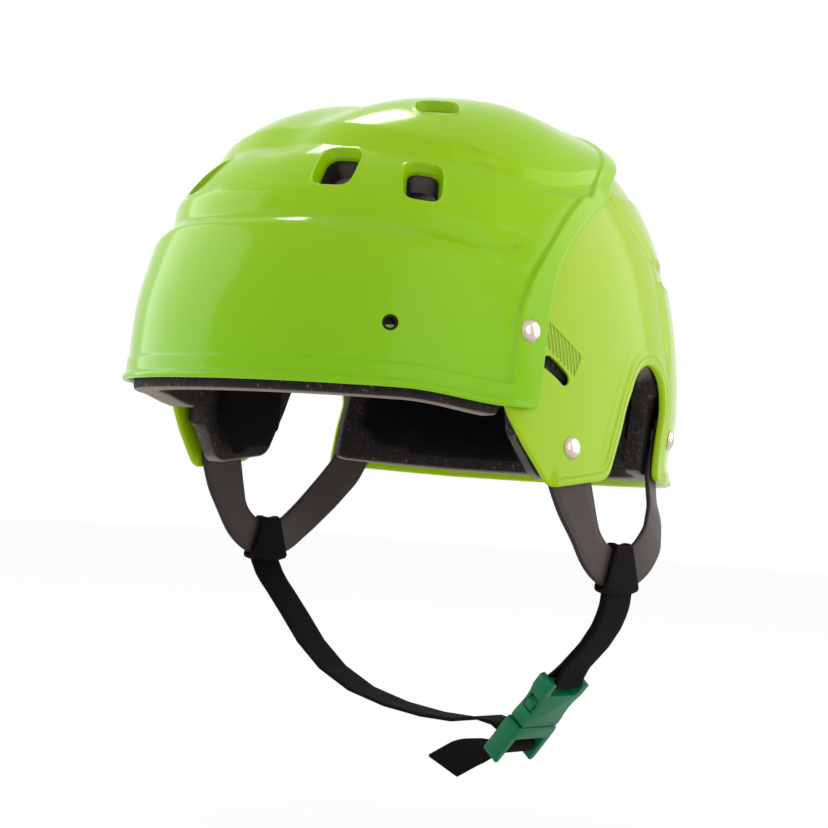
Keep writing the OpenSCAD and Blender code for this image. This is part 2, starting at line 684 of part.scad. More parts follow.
// The right webbing runs from its loop under the chin, through the plug's first opening,
// round the grip bar and out again as the loose tail
grip_bar_x = -half_len + 6.5;
grip_bar_r = 1.9;
module right_webbing() {
    lay = grip_bar_r + 0.3 + web_t / 2;
    tail_start = from_buckle([grip_bar_x - lay, 4]);
    web(concat(
        [[-curve_x, loop_foot], [-curve_x, loop_foot - 1], [3.6 - curve_x, loop_foot - 5.6],
        [11.6 - curve_x, loop_foot - 12.6], [22.5 - curve_x, loop_foot - 23],
        [34.5 - curve_x, loop_foot - 35], [49.5 - curve_x, 14.5 - chin_drop],
        [68.5 - curve_x, 6.5 - chin_drop], [-14, 2 - chin_drop], [8, -chin_drop], [26, -chin_drop]],
        [from_buckle([grip_bar_x - 2.5, 18]), from_buckle([grip_bar_x + 2, 10.5]),
        from_buckle([grip_bar_x + lay, 4]), from_buckle([grip_bar_x + lay, 0])],
        [for (a = [-30:-30:-150]) from_buckle([grip_bar_x + lay * cos(a), lay * sin(a)])],
        [from_buckle([grip_bar_x - lay, 0]), tail_start,
        tail_start + [-7, -1.2], tail_start + [-0.55, -0.2] * tail_length,
        tail_start + [-0.8, -0.32] * tail_length]), web_t);
}

// The plug: a frame with a grip bar and an end bar, and a tongue into the socket
rail = 3.6;
shoulder_x = -2.6;
plate_x = grip_bar_x + 7.5;
socket_width = buckle_width - 3;
module buckle_plug() {
    color(buckle_green)
    at_buckle() {
        for (side = [-1, 1])
            translate([-half_len, side * (buckle_width - rail) / 2 - rail / 2, -buckle_t / 2])
                cube([half_len + shoulder_x, rail, buckle_t]);
        translate([plate_x, -buckle_width / 2 + 1, -buckle_t / 2])
            cube([shoulder_x - plate_x, buckle_width - 2, buckle_t]);
        translate([grip_bar_x, 0, 0]) rotate([90, 0, 0])
            cylinder(r = grip_bar_r, h = buckle_width - 2, center = true, $fn = 32);
        translate([shoulder_x - 1, -tongue_half, -tongue_t / 2])
            cube([tongue_length + 1, 2 * tongue_half, tongue_t]);
    }
}
tongue_half = 2.6;
tongue_length = 12.5;
tongue_t = 4.4;
prong_root = [shoulder_x + 1.6, 7.7];
cavity_half = socket_width / 2 - socket_wall;
window_start = 5;
window_end = 12.4;
// A sprung arm with a barb that looks out of its window and a sloped tip
module prong_outline() {
    edge = socket_width / 2;
    tip = window_end + 0.2;
    polygon([[prong_root.x, prong_root.y - 1.1], [tip - 1, prong_root.y - 0.9], [tip, prong_root.y + 0.2],
        [tip, cavity_half - 1], [window_end - 3, edge - 0.3], [window_start + 1.2, edge - 0.3],
        [window_start + 0.4, edge - 0.8], [window_start + 0.4, cavity_half - 0.5],
        [prong_root.x, prong_root.y + 1.2]]);
    translate(prong_root) circle(r = 1.2, $fn = 24);
}
module front_prong() {
    color(buckle_green) at_buckle() mirror([0, 1, 0])
        linear_extrude(tongue_t, center = true) prong_outline();
}
module rear_prong() {
    color(buckle_green) at_buckle() linear_extrude(tongue_t, center = true) prong_outline();
}

// The socket: a sleeve with a window for each prong, and lugs that hold the end bar
mouth_x = shoulder_x + buckle_gap;
body_end = end_bar_x - wrap_r - 1.6;
module buckle_socket() {
    cavity_t = tongue_t + 2 * buckle_gap;
    thick = buckle_t - 1;
    color(buckle_green)
    at_buckle() {
        difference() {
            translate([mouth_x, -socket_width / 2, -thick / 2])
                cube([body_end - mouth_x, socket_width, thick]);
            translate([mouth_x - 1, -cavity_half, -cavity_t / 2])
                cube([body_end - socket_wall - mouth_x + 1, 2 * cavity_half, cavity_t]);
            translate([window_start, -socket_width, -cavity_t / 2])
                cube([window_end - window_start, 2 * socket_width, cavity_t]);
        }
        for (side = [-1, 1]) translate([body_end - 0.5, side * (socket_width / 2 - 0.7) - 1.9, -thick / 2])
            cube([half_len - body_end + 0.5, 3.8, thick]);
        translate([end_bar_x, 0, 0]) rotate([90, 0, 0])
            cylinder(r = end_bar_r, h = socket_width - 2, center = true, $fn = 32);
    }
}

front_shell();
rear_shell();
front_liner();
rear_liner();
brow_pad();
left_temple_pad();
right_temple_pad();
nape_pad();
crown_pad();
left_ear_strap();
right_ear_strap();
seam_rivets();
flap_rivets();
nape_rivets();
seam_washers();
flap_washers();
nape_washers();
left_visor_insert();
right_visor_insert();
left_sewn_loop();
right_sewn_loop();
left_webbing();
right_webbing();
buckle_plug();
front_prong();
rear_prong();
buckle_socket();
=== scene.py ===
# Looks for the skate helmet: shells, foam, pads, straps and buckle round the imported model.
# Shapes are worked out in millimetres and written to the meshes in metres.
import math
import bmesh
import bpy
import numpy as np
from mathutils import Matrix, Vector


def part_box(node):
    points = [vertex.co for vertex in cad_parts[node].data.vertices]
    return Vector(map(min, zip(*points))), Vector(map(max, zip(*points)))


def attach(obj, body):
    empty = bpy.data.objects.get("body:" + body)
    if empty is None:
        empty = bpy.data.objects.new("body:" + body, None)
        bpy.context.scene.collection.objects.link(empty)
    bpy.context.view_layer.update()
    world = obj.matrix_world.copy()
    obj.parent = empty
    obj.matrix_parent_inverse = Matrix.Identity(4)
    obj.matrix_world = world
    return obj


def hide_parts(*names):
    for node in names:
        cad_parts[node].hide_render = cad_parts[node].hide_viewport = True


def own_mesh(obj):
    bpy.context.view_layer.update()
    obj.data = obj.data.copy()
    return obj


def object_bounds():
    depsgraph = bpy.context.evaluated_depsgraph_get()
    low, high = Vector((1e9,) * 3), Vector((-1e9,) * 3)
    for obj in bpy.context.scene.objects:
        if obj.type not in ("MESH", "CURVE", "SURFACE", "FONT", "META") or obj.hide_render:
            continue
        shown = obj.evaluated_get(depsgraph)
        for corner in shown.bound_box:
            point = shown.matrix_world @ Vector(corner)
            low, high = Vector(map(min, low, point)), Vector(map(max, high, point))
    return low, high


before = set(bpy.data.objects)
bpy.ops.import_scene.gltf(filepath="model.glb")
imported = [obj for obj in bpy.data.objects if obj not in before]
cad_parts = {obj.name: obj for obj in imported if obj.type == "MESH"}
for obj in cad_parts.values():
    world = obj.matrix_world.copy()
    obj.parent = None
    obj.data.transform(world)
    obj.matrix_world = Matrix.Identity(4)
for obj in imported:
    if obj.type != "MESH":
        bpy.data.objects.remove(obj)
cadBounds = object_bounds()
print("frame loaded with", len(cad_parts), "nodes")


def smooth(low, high, v):  # 0 below low, 1 above high, an S between them
    t = np.clip((v - low) / (high - low), 0, 1)
    return t * t * (3 - 2 * t)


def ramp(low, high, v, r=1.0):  # a straight rise from 0 to 1 whose two corners are rounded by r
    bend = lambda x: 0.5 * (x + np.sqrt(x * x + r * r))
    return (bend(v - low) - bend(v - high)) / (high - low)


def mix(a, b, t):
    return a + (b - a) * t


def unit(v):
    return v / np.maximum(np.linalg.norm(v, axis=-1, keepdims=True), 1e-12)


def runOf(line):  # the length along a line up to each of its points
    return np.concatenate([[0], np.cumsum(np.linalg.norm(np.diff(line, axis=0), axis=1))])


def resample(points, count, closed=False, real=None):  # even spacing, measured on the line or on its real course
    close = lambda p: np.vstack([p, p[:1]]) if closed else np.asarray(p, float)
    line = close(points)
    run = runOf(line if real is None else close(real))
    at = np.linspace(0, run[-1], count + 1)[:-1] if closed else np.linspace(0, run[-1], count)
    return np.stack([np.interp(at, run, line[:, i]) for i in range(line.shape[1])], 1)


def soften(points, width, closed=False):  # a running weighted mean, width in points, ends kept
    reach = int(3 * width) + 1
    weights = np.exp(-0.5 * (np.arange(-reach, reach + 1) / width) ** 2)
    weights /= weights.sum()
    if closed:
        padded = np.concatenate([points[-reach:], points, points[:reach]])
    else:
        padded = np.concatenate([2 * points[0] - points[reach:0:-1], points, 2 * points[-1] - points[-2:-reach - 2:-1]])
    return np.stack([np.convolve(padded[:, i], weights, "valid") for i in range(points.shape[1])], 1)


def curveThrough(points, count, width=1.0):  # a soft line through stations of any number of columns
    dense = resample(np.asarray(points, float), count * 4)
    return resample(soften(dense, width * 4), count)


def addMesh(name, parts, material, uv=None, values=None):
    # parts are (points in mm, faces) pairs put in one mesh; uv is one (n, 2) array for all points
    points, faces, shift = [], [], 0
    for p, f in parts:
        points.append(np.asarray(p, float).reshape(-1, 3))
        faces += (np.asarray(f) + shift).tolist() if not isinstance(f, list) else [[i + shift for i in q] for q in f]
        shift += len(points[-1])
    points = np.concatenate(points)
    mesh = bpy.data.meshes.new(name)
    mesh.from_pydata((points * 0.001).tolist(), [], faces)
    if uv is not None:
        corners = np.empty(len(mesh.loops), np.int32)
        mesh.loops.foreach_get("vertex_index", corners)
        mesh.uv_layers.new(name="along").data.foreach_set("uv", np.asarray(uv, np.float32)[corners].ravel())
    for key, data in (values or {}).items():
        mesh.attributes.new(key, "FLOAT", "POINT").data.foreach_set("value", np.asarray(data, np.float32).ravel())
    mesh.shade_smooth()
    mesh.materials.append(material)
    piece = bpy.data.objects.new(name, mesh)
    bpy.context.scene.collection.objects.link(piece)
    return piece


def joinDoubles(piece, distance=1e-6, turn=False):
    tool = bmesh.new()
    tool.from_mesh(piece.data)
    bmesh.ops.remove_doubles(tool, verts=tool.verts, dist=distance)
    if turn:
        bmesh.ops.recalc_face_normals(tool, faces=tool.faces)
    tool.to_mesh(piece.data)
    tool.free()


def gridFaces(rows, cols, closed=False, keep=None):
    # quads of a grid whose rows run up and columns run anticlockwise, so they face outwards
    j, i = np.meshgrid(np.arange(rows - 1), np.arange(cols if closed else cols - 1), indexing="ij")
    n = (i + 1) % cols
    quads = np.stack([j * cols + i, j * cols + n, (j + 1) * cols + n, (j + 1) * cols + i], -1)
    return quads[keep] if keep is not None else quads.reshape(-1, 4)


def place(piece, body, slot, *nodes):
    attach(piece, body)
    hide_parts(*nodes)


def addModifier(piece, kind, **settings):
    tool = piece.modifiers.new(kind.title(), kind)
    for key, value in settings.items():
        setattr(tool, key, value)


class Socket:  # one output of a node; sums on it add Math nodes
    def __init__(self, graph, source):
        self.graph, self.source = graph, source

    def math(self, operation, *values):
        return self.graph.add("ShaderNodeMath", {"operation": operation}, values)

    def __add__(self, other): return self.math("ADD", self, other)
    def __sub__(self, other): return self.math("SUBTRACT", self, other)
    def __rsub__(self, other): return self.math("SUBTRACT", other, self)
    def __mul__(self, other): return self.math("MULTIPLY", self, other)
    __radd__, __rmul__ = __add__, __mul__

    def step(self, low, high):  # 0 below low and 1 above high, or the other way round
        return self.graph.add("ShaderNodeMapRange", {"interpolation_type": "SMOOTHSTEP"},
                              {"Value": self, "From Min": low, "From Max": high})

    def wave(self, length):  # a sine from -1 to 1
        return self.math("SINE", self * (2 * math.pi / length))

    def most(self, other): return self.math("MAXIMUM", self, other)
    def least(self, other): return self.math("MINIMUM", self, other)
    def size(self): return self.math("ABSOLUTE", self)


class Graph:  # a node tree under construction
    def __init__(self, tree):
        self.nodes, self.links = tree.nodes, tree.links
        self.nodes.clear()

    def add(self, kind, settings=None, inputs=(), out=0):
        node = self.nodes.new(kind)
        for key, value in (settings or {}).items():
            setattr(node, key, value)
        for key, value in (inputs.items() if isinstance(inputs, dict) else enumerate(inputs)):
            if isinstance(value, Socket):
                self.links.new(value.source, node.inputs[key])
            else:
                node.inputs[key].default_value = value
        return Socket(self, node.outputs[out]) if len(node.outputs) else None

    def apart(self, vector):  # a vector's three numbers
        node = self.add("ShaderNodeSeparateXYZ", None, [vector]).source.node
        return [Socket(self, output) for output in node.outputs]


class Finish(Graph):  # a material under construction, with its sizes in millimetres
    def __init__(self, name):
        self.material = bpy.data.materials.new(name)
        self.material.use_nodes = True
        super().__init__(self.material.node_tree)
        self.spot = self.add("ShaderNodeTexCoord", out="Object")  # in metres

    def value(self, name):  # a number kept on the points
        return self.add("ShaderNodeAttribute", {"attribute_name": name}, out="Fac")

    def noise(self, size, detail=3.0, rough=0.5):  # size of a blotch
        return self.add("ShaderNodeTexNoise", None,
                        {"Vector": self.spot, "Scale": 1000 / size, "Detail": detail, "Roughness": rough}, out="Fac")

    def cells(self, size, feature="F1"):
        return self.add("ShaderNodeTexVoronoi", {"feature": feature}, {"Vector": self.spot, "Scale": 1000 / size},
                        out="Distance")

    def tint(self, factor, a, b):  # from a colour or a socket to a colour
        return self.add("ShaderNodeMix", {"data_type": "RGBA"},
                        {0: factor, 6: a if isinstance(a, Socket) else (*a, 1), 7: (*b, 1)}, out=2)

    def bump(self, height, strength=1.0):
        return self.add("ShaderNodeBump", None, {"Strength": strength, "Distance": 0.001, "Height": height})

    def done(self, **inputs):
        names = {key.replace("_", " ").title().replace("Ior", "IOR"): value for key, value in inputs.items()}
        shader = self.add("ShaderNodeBsdfPrincipled", None, names)
        self.add("ShaderNodeOutputMaterial", None, {"Surface": shader})
        return self.material


def shellPlastic(name, light, dark, low):
    # glossy moulded plastic: clear lime with a faint orange peel, darker low down and paler at the top as painted shade
    # and light
    f = Finish(name)
    x, y, z = (c * 1000 for c in f.apart(f.spot))
    colour = f.tint(f.noise(45, 2), light, dark)
    # painted shade: the colour darkens towards the bottom of the shell, standing in for the shade on the lower wall
    colour = f.tint(z.step(115, -5) * 0.85, colour, low)
    scuff = f.noise(6, 4, 0.6).step(0.62, 0.8)
    peel = f.noise(2.6, 1) * 0.012 + f.noise(60, 1) * 0.25
    groove = (f.value("edge") - 3.1).size().step(0.45, 0.05) * -0.30
    # the small rib panel on each side, as a parallelogram seen from the side; the grooves between its ribs and the
    # recess's upper and end edges are darkened as painted shade
    p = (y + 33.3) * 0.835 + (z - 33) * -0.550
    q = (y + 33.3) * -0.550 + (z - 33) * -0.835
    slant = p - q * 0.08
    inside = q.step(0.0, 0.5) * q.step(9.9, 9.3) * (p - q * 0.56).step(0, 0.6) * slant.step(24.7, 24.0)
    inside = inside * x.size().step(60, 62)
    ribs = (p - q * 0.9).wave(2.5).step(-0.9, 0.5)
    border = inside * (q.step(1.1, 0.3) + slant.step(22.9, 23.9)).least(1.0)
    # painted shade: darker green between the ribs, and a painted shadow line along the recess's upper and end edges
    colour = f.tint(inside * (1 - ribs) * 0.5 + border * 0.25, colour, (0.10, 0.25, 0.001))
    return f.done(base_color=colour, roughness=scuff * 0.08 + 0.15, specular_ior_level=0.22,
                  normal=f.bump(peel + groove + inside * (ribs * 0.5 - 0.7)))


def linerFoam():  # dark bead foam: joined beads, pale flecks, and faces that look down painted paler as painted light from the floor below
    f = Finish("linerFoam")
    joints = f.cells(1000 / 310, "DISTANCE_TO_EDGE").step(0.0, 0.09)
    fleck = f.noise(1.7, 4, 0.7).step(0.56, 0.70) * f.noise(9, 3).step(0.40, 0.58)
    colour = f.tint(f.cells(3.2) * 0.6, (0.012, 0.009, 0.008), (0.034, 0.027, 0.023))
    colour = f.tint(fleck * 0.6, colour, (0.30, 0.27, 0.23))
    # painted light: faces that look down are painted pale beige, standing in for the light thrown up by the floor
    paintedFloorLight = f.apart(f.add("ShaderNodeTexCoord", out="Normal"))[2].step(-0.45, -0.9)
    colour = f.tint(paintedFloorLight * 0.75, colour, (0.34, 0.28, 0.24))
    return f.done(base_color=colour, roughness=0.82, specular_ior_level=0.3,
                  normal=f.bump(joints * 0.18 + fleck * 0.08, 0.7))


def padCloth():  # black knitted cover: fine rows of loops, slight fuzz and creases
    f = Finish("padCloth")
    askew = f.add("ShaderNodeMapping", None, {"Vector": f.spot, "Rotation": (0.5, 0.3, 0.78)})
    a, b, c = ((part * 1000).wave(1.35) for part in f.apart(askew))
    knit = a * b + c * 0.7
    shade = knit.step(-0.4, 1.3) * 0.6 + f.noise(0.9, 3) * 0.3
    return f.done(base_color=f.tint(shade, (0.0015, 0.0015, 0.0015), (0.007, 0.0065, 0.0065)), roughness=0.93,
                  specular_ior_level=0.12, sheen_weight=0.02, sheen_roughness=0.5,
                  normal=f.bump(knit * 0.05 + f.noise(22, 3) * 0.9, 0.8))


def strapPlastic():  # smooth brown-black flexible strap with a thin raised line inside each edge, its edges and sides darkened as painted shade
    f = Finish("strapPlastic")
    cloud, edge = f.noise(14, 3), f.value("edge")
    line = (edge - 1.1).size().step(0.45, 0.0)
    colour = f.tint(cloud, (0.040, 0.028, 0.026), (0.060, 0.044, 0.041))
    # painted shade: the band's rounded edges and sides are painted darker
    colour = f.tint(edge.step(0.9, 0.2) * 0.6, colour, (0.025, 0.018, 0.017))
    return f.done(base_color=colour, roughness=cloud * 0.14 + 0.38, specular_ior_level=0.17,
                  normal=f.bump(f.noise(0.5, 2) * 0.015 + line * 0.12))


def wovenWebbing(name, rib=0.62):  # black woven tape: cross ribs in staggered columns
    f = Finish(name)
    u, v = f.apart(f.add("ShaderNodeUVMap", {"uv_map": "along"}))[:2]  # millimetres along and across
    column = v.wave(3.0)
    ribs = (u + column.step(-0.15, 0.15) * (rib / 2)).wave(rib)
    dust = f.noise(0.7, 3)
    colour = f.tint(ribs.step(-0.5, 1.0) * 0.65 + dust * 0.3, (0.0012, 0.001, 0.001), (0.010, 0.0085, 0.0075))
    return f.done(base_color=colour, roughness=0.8, specular_ior_level=0.08,
                  normal=f.bump(ribs * 0.07 + column.size() * 0.10 + dust * 0.03, 0.9))


def capNickel():  # polished nickel with hair scratches
    f = Finish("capNickel")
    stretched = f.add("ShaderNodeMapping", None, {"Vector": f.spot, "Scale": (1, 7, 1)})
    scratch = f.add("ShaderNodeTexNoise", None, {"Vector": stretched, "Scale": 900, "Detail": 3}, out="Fac")
    return f.done(base_color=f.tint(f.noise(3, 3), (0.74, 0.60, 0.50), (0.62, 0.50, 0.42)), metallic=1.0,
                  roughness=scratch * 0.10 + 0.10, normal=f.bump(scratch * 0.006))


def turnedMetal(name, light, dark, rough):  # plain metal with fine tool marks
    f = Finish(name)
    marks = f.noise(0.4, 2)
    return f.done(base_color=f.tint(f.noise(4, 3), light, dark), metallic=1.0,
                  roughness=marks * 0.15 + rough, normal=f.bump(marks * 0.02))


def buckleNylon():  # satin green nylon: spark-eroded grain, edges rubbed a little paler
    f = Finish("buckleNylon")
    grain = f.noise(0.35, 2)
    worn = f.add("ShaderNodeNewGeometry", out="Pointiness").step(0.53, 0.62)
    colour = f.tint(f.noise(8, 3), (0.0015, 0.130, 0.050), (0.002, 0.16, 0.064))
    return f.done(base_color=f.tint(worn * 0.3, colour, (0.012, 0.27, 0.13)), roughness=grain * 0.15 + 0.28,
                  specular_ior_level=0.20, normal=f.bump(grain * 0.02))


# each shell's last colour is the painted shade low down; the rear shell's paler, yellower lime is partly the second
# moulding's own colour and partly painted light and reflection of the pale surroundings on the sides
lime = shellPlastic("frontShellPlastic", (0.345, 0.63, 0.0), (0.33, 0.61, 0.0), (0.215, 0.53, 0.0))
rearLime = shellPlastic("rearShellPlastic", (0.42, 0.60, 0.003), (0.40, 0.585, 0.002), (0.33, 0.55, 0.001))
foam, cloth, strapSkin, nickel, nylon = linerFoam(), padCloth(), strapPlastic(), capNickel(), buckleNylon()
webbing, loopWebbing = wovenWebbing("wovenWebbing"), wovenWebbing("ribbedWebbing", 0.95)
steel = turnedMetal("washerSteel", (0.50, 0.49, 0.47), (0.40, 0.39, 0.38), 0.30)
brass = turnedMetal("insertMetal", (0.030, 0.026, 0.022), (0.018, 0.016, 0.014), 0.45)
print("finishes ready")


# the dome that the shells, liners and pads follow; crowding and below say how it is rolled flat
dome = dict(halfWidth=105.5, frontReach=131.5, rearReach=131.0, height=130.0, outline=2.165, sideFade=0.553,
            frontFade=0.853, rearFade=0.62, wall=2.3, crowding=1.613, below=165.0)
relief = dict(bead=1.4, beadHigh=3.0, band=0.8, bandHigh=9.4, humpOut=1.8, humpRear=2.2, channel=4.0, stripOut=2.9)
seamSet = dict(ahead=38.0, lean=0.1, curve=78.0, power=3.7, knee=86.0, over=48.8 / 37.3)
# A line's start, then each (rise, from, to). The first six are heights over degrees from the front, the last two
# are the strip's width and the lap's share over height.
reliefLines = dict(
    ledge=(62.5, (-5, 13, 35), (-6.5, 45, 66)), ledgeEnd=(69.0, (-8.5, 25, 60)), shelf=(77.0, (-11, 22, 63)),
    hump=(103.0, (-8, 0, 45), (-5, 50, 75), (7, 78, 112)), humpRise=(8.5, (-4.5, 30, 60)), brim=(0.0, (-4, 40, 62)),
    stripWidth=(14.5, (-7, 30, 68), (1.5, 80, 100)), lapShare=(1.0, (-0.5, 33, 46)))


def reliefLine(name, v):
    start, *steps = reliefLines[name]
    return sum((rise * smooth(low, high, v) for rise, low, high in steps), start)


def domeRadius(az, z, k):  # a superellipse in plan whose half axes shrink as powers of k
    a = np.radians(az)
    side = dome["halfWidth"] * k ** dome["sideFade"]
    front, rear = dome["frontReach"] * k ** dome["frontFade"], dome["rearReach"] * k ** dome["rearFade"]
    long = np.where(np.cos(a) > 0, front, rear)
    n = dome["outline"]
    r = ((np.abs(np.sin(a)) / side) ** n + (np.abs(np.cos(a)) / long) ** n) ** (-1 / n)
    d = np.abs(az)
    neck = smooth(115, 135, d)
    below = -0.06 * z * (1 - smooth(95, 115, d)) - 3 * smooth(0, -22, z) * neck + 2.2 * smooth(-22, -33, z) * neck
    return r + np.where(z < 0, below, 0)


def shrink(z):  # k at a height: 1 at the brim, 0 at the pole
    return np.sqrt(np.maximum(1 - (np.clip(z, 0, None) / dome["height"]) ** 2, 1e-9))


def onDome(az, z, off=0.0, k=None):  # a point a distance off the smooth dome, with the crown's channel
    k = shrink(z) if k is None else k
    t = np.arcsin(np.clip(z / dome["height"], 0, 1))
    r = domeRadius(az, z, k) + off * np.cos(t)
    x, y = r * np.sin(np.radians(az)), -r * np.cos(np.radians(az))
    dip = relief["channel"] * np.exp(-(x / 15) ** 2) * smooth(88, 108, z) * smooth(75, 20, y)
    return np.stack(np.broadcast_arrays(x, y, z + (off - dip) * np.sin(t)), -1)


def fromFlat(flat):  # the dome rolled flat: distance from the pole gives the height, direction the azimuth
    rho = np.hypot(flat[..., 0], flat[..., 1])
    az = np.degrees(np.arctan2(flat[..., 0], -flat[..., 1]))
    k = np.maximum(np.sin(np.minimum(rho, math.pi / 2)) ** dome["crowding"], 1e-7)
    above = dome["height"] * np.sqrt(np.maximum(1 - k * k, 0))
    return az, np.where(rho < math.pi / 2, above, (math.pi / 2 - rho) * dome["below"]), k


def toFlat(az, z):
    above = np.arcsin(np.clip(shrink(z), 0, 1) ** (1 / dome["crowding"]))
    rho = np.where(z > 0, above, math.pi / 2 - z / dome["below"])
    return np.stack(np.broadcast_arrays(rho * np.sin(np.radians(az)), -rho * np.cos(np.radians(az))), -1)


def seamSlope(z):  # millimetres back for each one up
    s = seamSet
    curved = s["lean"] + s["curve"] * s["power"] / 100 * (np.clip(z, 0, None) / 100) ** (s["power"] - 1)
    return np.where(z < s["knee"], curved, s["over"])


def seamY(z):  # the seam seen from the side: a curve, then a straight line over the crown
    s = seamSet
    low = np.minimum(z, s["knee"])
    curved = s["lean"] * low - s["ahead"] + s["curve"] * (np.clip(low, 0, None) / 100) ** s["power"]
    return curved + s["over"] * np.maximum(z - s["knee"], 0)


def seamGap(az, z, k):  # distance ahead of the seam
    return (seamY(z) - onDome(az, z, 0, k)[..., 1]) / np.sqrt(1 + seamSlope(z) ** 2)


def humpHeight(az, z, k):
    y = -domeRadius(az, z, k) * np.cos(np.radians(az))
    rise = mix(relief["humpOut"], relief["humpRear"], smooth(-70, 70, y))
    return rise - 1.8 * smooth(104, 120, z) * smooth(-10, 30, y)


def frontOut(az, z, k):
    # how far the front shell stands out: bead, band, creased brow, ledge, wall, vent band, hump and seam strip
    d, rl = np.abs(az), relief
    a, c, b, h = (reliefLine(name, d) for name in ("ledge", "ledgeEnd", "shelf", "hump"))
    onHump = ramp(h, h + reliefLine("humpRise", d), z, 0.5)
    lift = z - reliefLine("brim", d)
    gap, wide = seamGap(az, z, k), reliefLine("stripWidth", z)
    over = 1 - ramp(wide - 0.5, wide + 0.5, gap, 0.3)
    strip = rl["stripOut"] * (0.45 * over + 0.55 * (1 - smooth(wide - 1.0, wide + 17.0, gap)))
    top = rl["beadHigh"] * (1 - smooth(60, 69.6, d))
    bead = rl["bead"] * (1 - ramp(top - 0.7, top + 0.4, lift, 0.35)) * (1 - smooth(66, 69.8, d))
    band = rl["band"] * (1 - ramp(rl["bandHigh"] - 0.4, rl["bandHigh"] + 0.4, lift, 0.3)) * (1 - over)
    brow = 1.2 * ramp(10, 34, z, 1.2) + 0.7 * ramp(46, a, z, 0.5) - 4.1 * ramp(a, c, z, 0.5)
    upper = 3.4 * ramp(c, b, z, 0.5) - ramp(b, h - 8, z, 0.5) - 1.4 * ramp(h - 8, h, z, 0.8) + 1.2 * onHump
    fade = 1 - smooth(52, 70, d)
    return bead * (1 - 0.3 * over) + band + fade * (brow + upper) + humpHeight(az, z, k) * onHump + strip


def frontSurface(flat, depth=0.0):
    az, z, k = fromFlat(flat)
    return onDome(az, z, frontOut(az, z, k) + depth, k)


def rearOut(az, z):  # the rear shell's low steps behind the ear arches
    d = np.abs(az)
    crease = 123.0 - 19 * smooth(64, 94, z)
    w = smooth(crease - 1.5, crease + 3.0, d)
    groove = -0.8 * np.exp(-((d - crease) / 1.5) ** 2) * smooth(22, 36, z) * smooth(112, 96, z)
    return w * (1.2 * smooth(96.5, 92.5, z) * smooth(66.5, 68.5, z) - 0.4 + 1.6 * smooth(59.5, 56.5, z)) - 0.35 + groove


def bisect(low, high, holds):  # where a test stops holding between low and high
    for _ in range(40):
        m = (low + high) / 2
        yes = holds(m)
        low, high = np.where(yes, m, low), np.where(yes, high, m)
    return high


def seamLine(back, low, count=220):  # the seam moved back by a distance, in the flat plan, up the left to the rear
    line = lambda z: seamY(z) + back * reliefLine("lapShare", z)
    z = np.linspace(low, 88, count)
    sideAz = bisect(np.full(count, 50.0), np.full(count, 175.0), lambda m: onDome(m, z)[:, 1] < line(z))
    az = np.linspace(sideAz[-1], 180, count)[1:]
    overZ = bisect(np.full(count - 1, 60.0), np.full(count - 1, dome["height"] - 0.01),
                   lambda m: -domeRadius(az, m, shrink(m)) * np.cos(np.radians(az)) >= line(m))
    return np.concatenate([toFlat(sideAz, z), toFlat(az, overZ)])


def bothSides(left):  # a closed ring from the rear along the right to the front, then round the left
    right = left[::-1] * np.array([-1, 1])
    return np.concatenate([right[:-1] if np.allclose(right[-1], left[0]) else right, left[:-1]])


def capBoundary(back, lip, count, rounding):  # a cap's edge: along the brim, then up along the seam
    start = seamLine(back, -4 - lip)
    cornerAz = np.degrees(math.atan2(start[0, 0], -start[0, 1]))
    d = np.linspace(0, cornerAz, 200)
    left = np.concatenate([toFlat(d, reliefLine("brim", d) - lip)[:-1], start])
    ring = resample(bothSides(left), count * 4, closed=True)
    ring = soften(ring, rounding * 4 * count / 650, closed=True)
    return resample(ring, count, True, frontSurface(ring))


def wallGrid(start, target, rows, surface, closed, through=None):
    # Each row is (millimetres from the edge or None, share of the rest or None, depth). Lines run from the start
    # points to the target points in the flat plan, straight or on a quadratic curve drawn towards a third point.
    # Gives the flat grid, its depths and its points.
    def lineAt(s):
        if through is None:
            return mix(start, target, s)
        return (1 - s) ** 2 * start + 2 * s * (1 - s) * through + s * s * target

    base = surface(start)
    run = (surface(lineAt(0.01)) - base) / 0.01
    along = np.roll(base, -1, 0) - np.roll(base, 1, 0) if closed else np.gradient(base, axis=0)
    sine = np.linalg.norm(np.cross(unit(run), unit(along)), axis=1)
    sine = np.clip(sine, 0.5, 1)
    perMm = 1 / (np.linalg.norm(run, axis=1) * sine)
    perMm = soften(perMm[:, None], 4, closed)[:, 0]
    last = max(r[0] for r in rows if r[0] is not None)
    shares = np.stack([perMm * e if e is not None else mix(perMm * last, 1, s) for e, s, _ in rows])
    depths = np.array([r[2] for r in rows])[:, None] * np.ones(len(start))
    flat = lineAt(shares[..., None])
    return flat, depths, surface(flat, depths)


def rimRows(wall, r=1.05):  # a rounded edge from the inner wall over to the outer one
    return [(r, None, -wall), (0.3 * r, None, 0.3 * r - wall), (0, None, r - wall), (0, None, -0.5 * wall),
            (0, None, -r), (0.3 * r, None, -0.3 * r), (r, None, 0)]


def wallRows(wall, innerShares, innerSteps, outerSteps, outerShares, r=1.05):
    # a walled piece's rows up its inner wall, over its edge and up its outer wall, then where the outer wall's
    # rows start and where the inner wall's open rows stop
    inner = [(None, s, -wall) for s in innerShares]
    rows = inner + [(e, None, -wall) for e in innerSteps] + rimRows(wall, r)
    outer = [(e, None, 0) for e in outerSteps] + [(None, s, 0) for s in outerShares[1:]]
    return rows + outer, len(rows) - 1, len(inner)


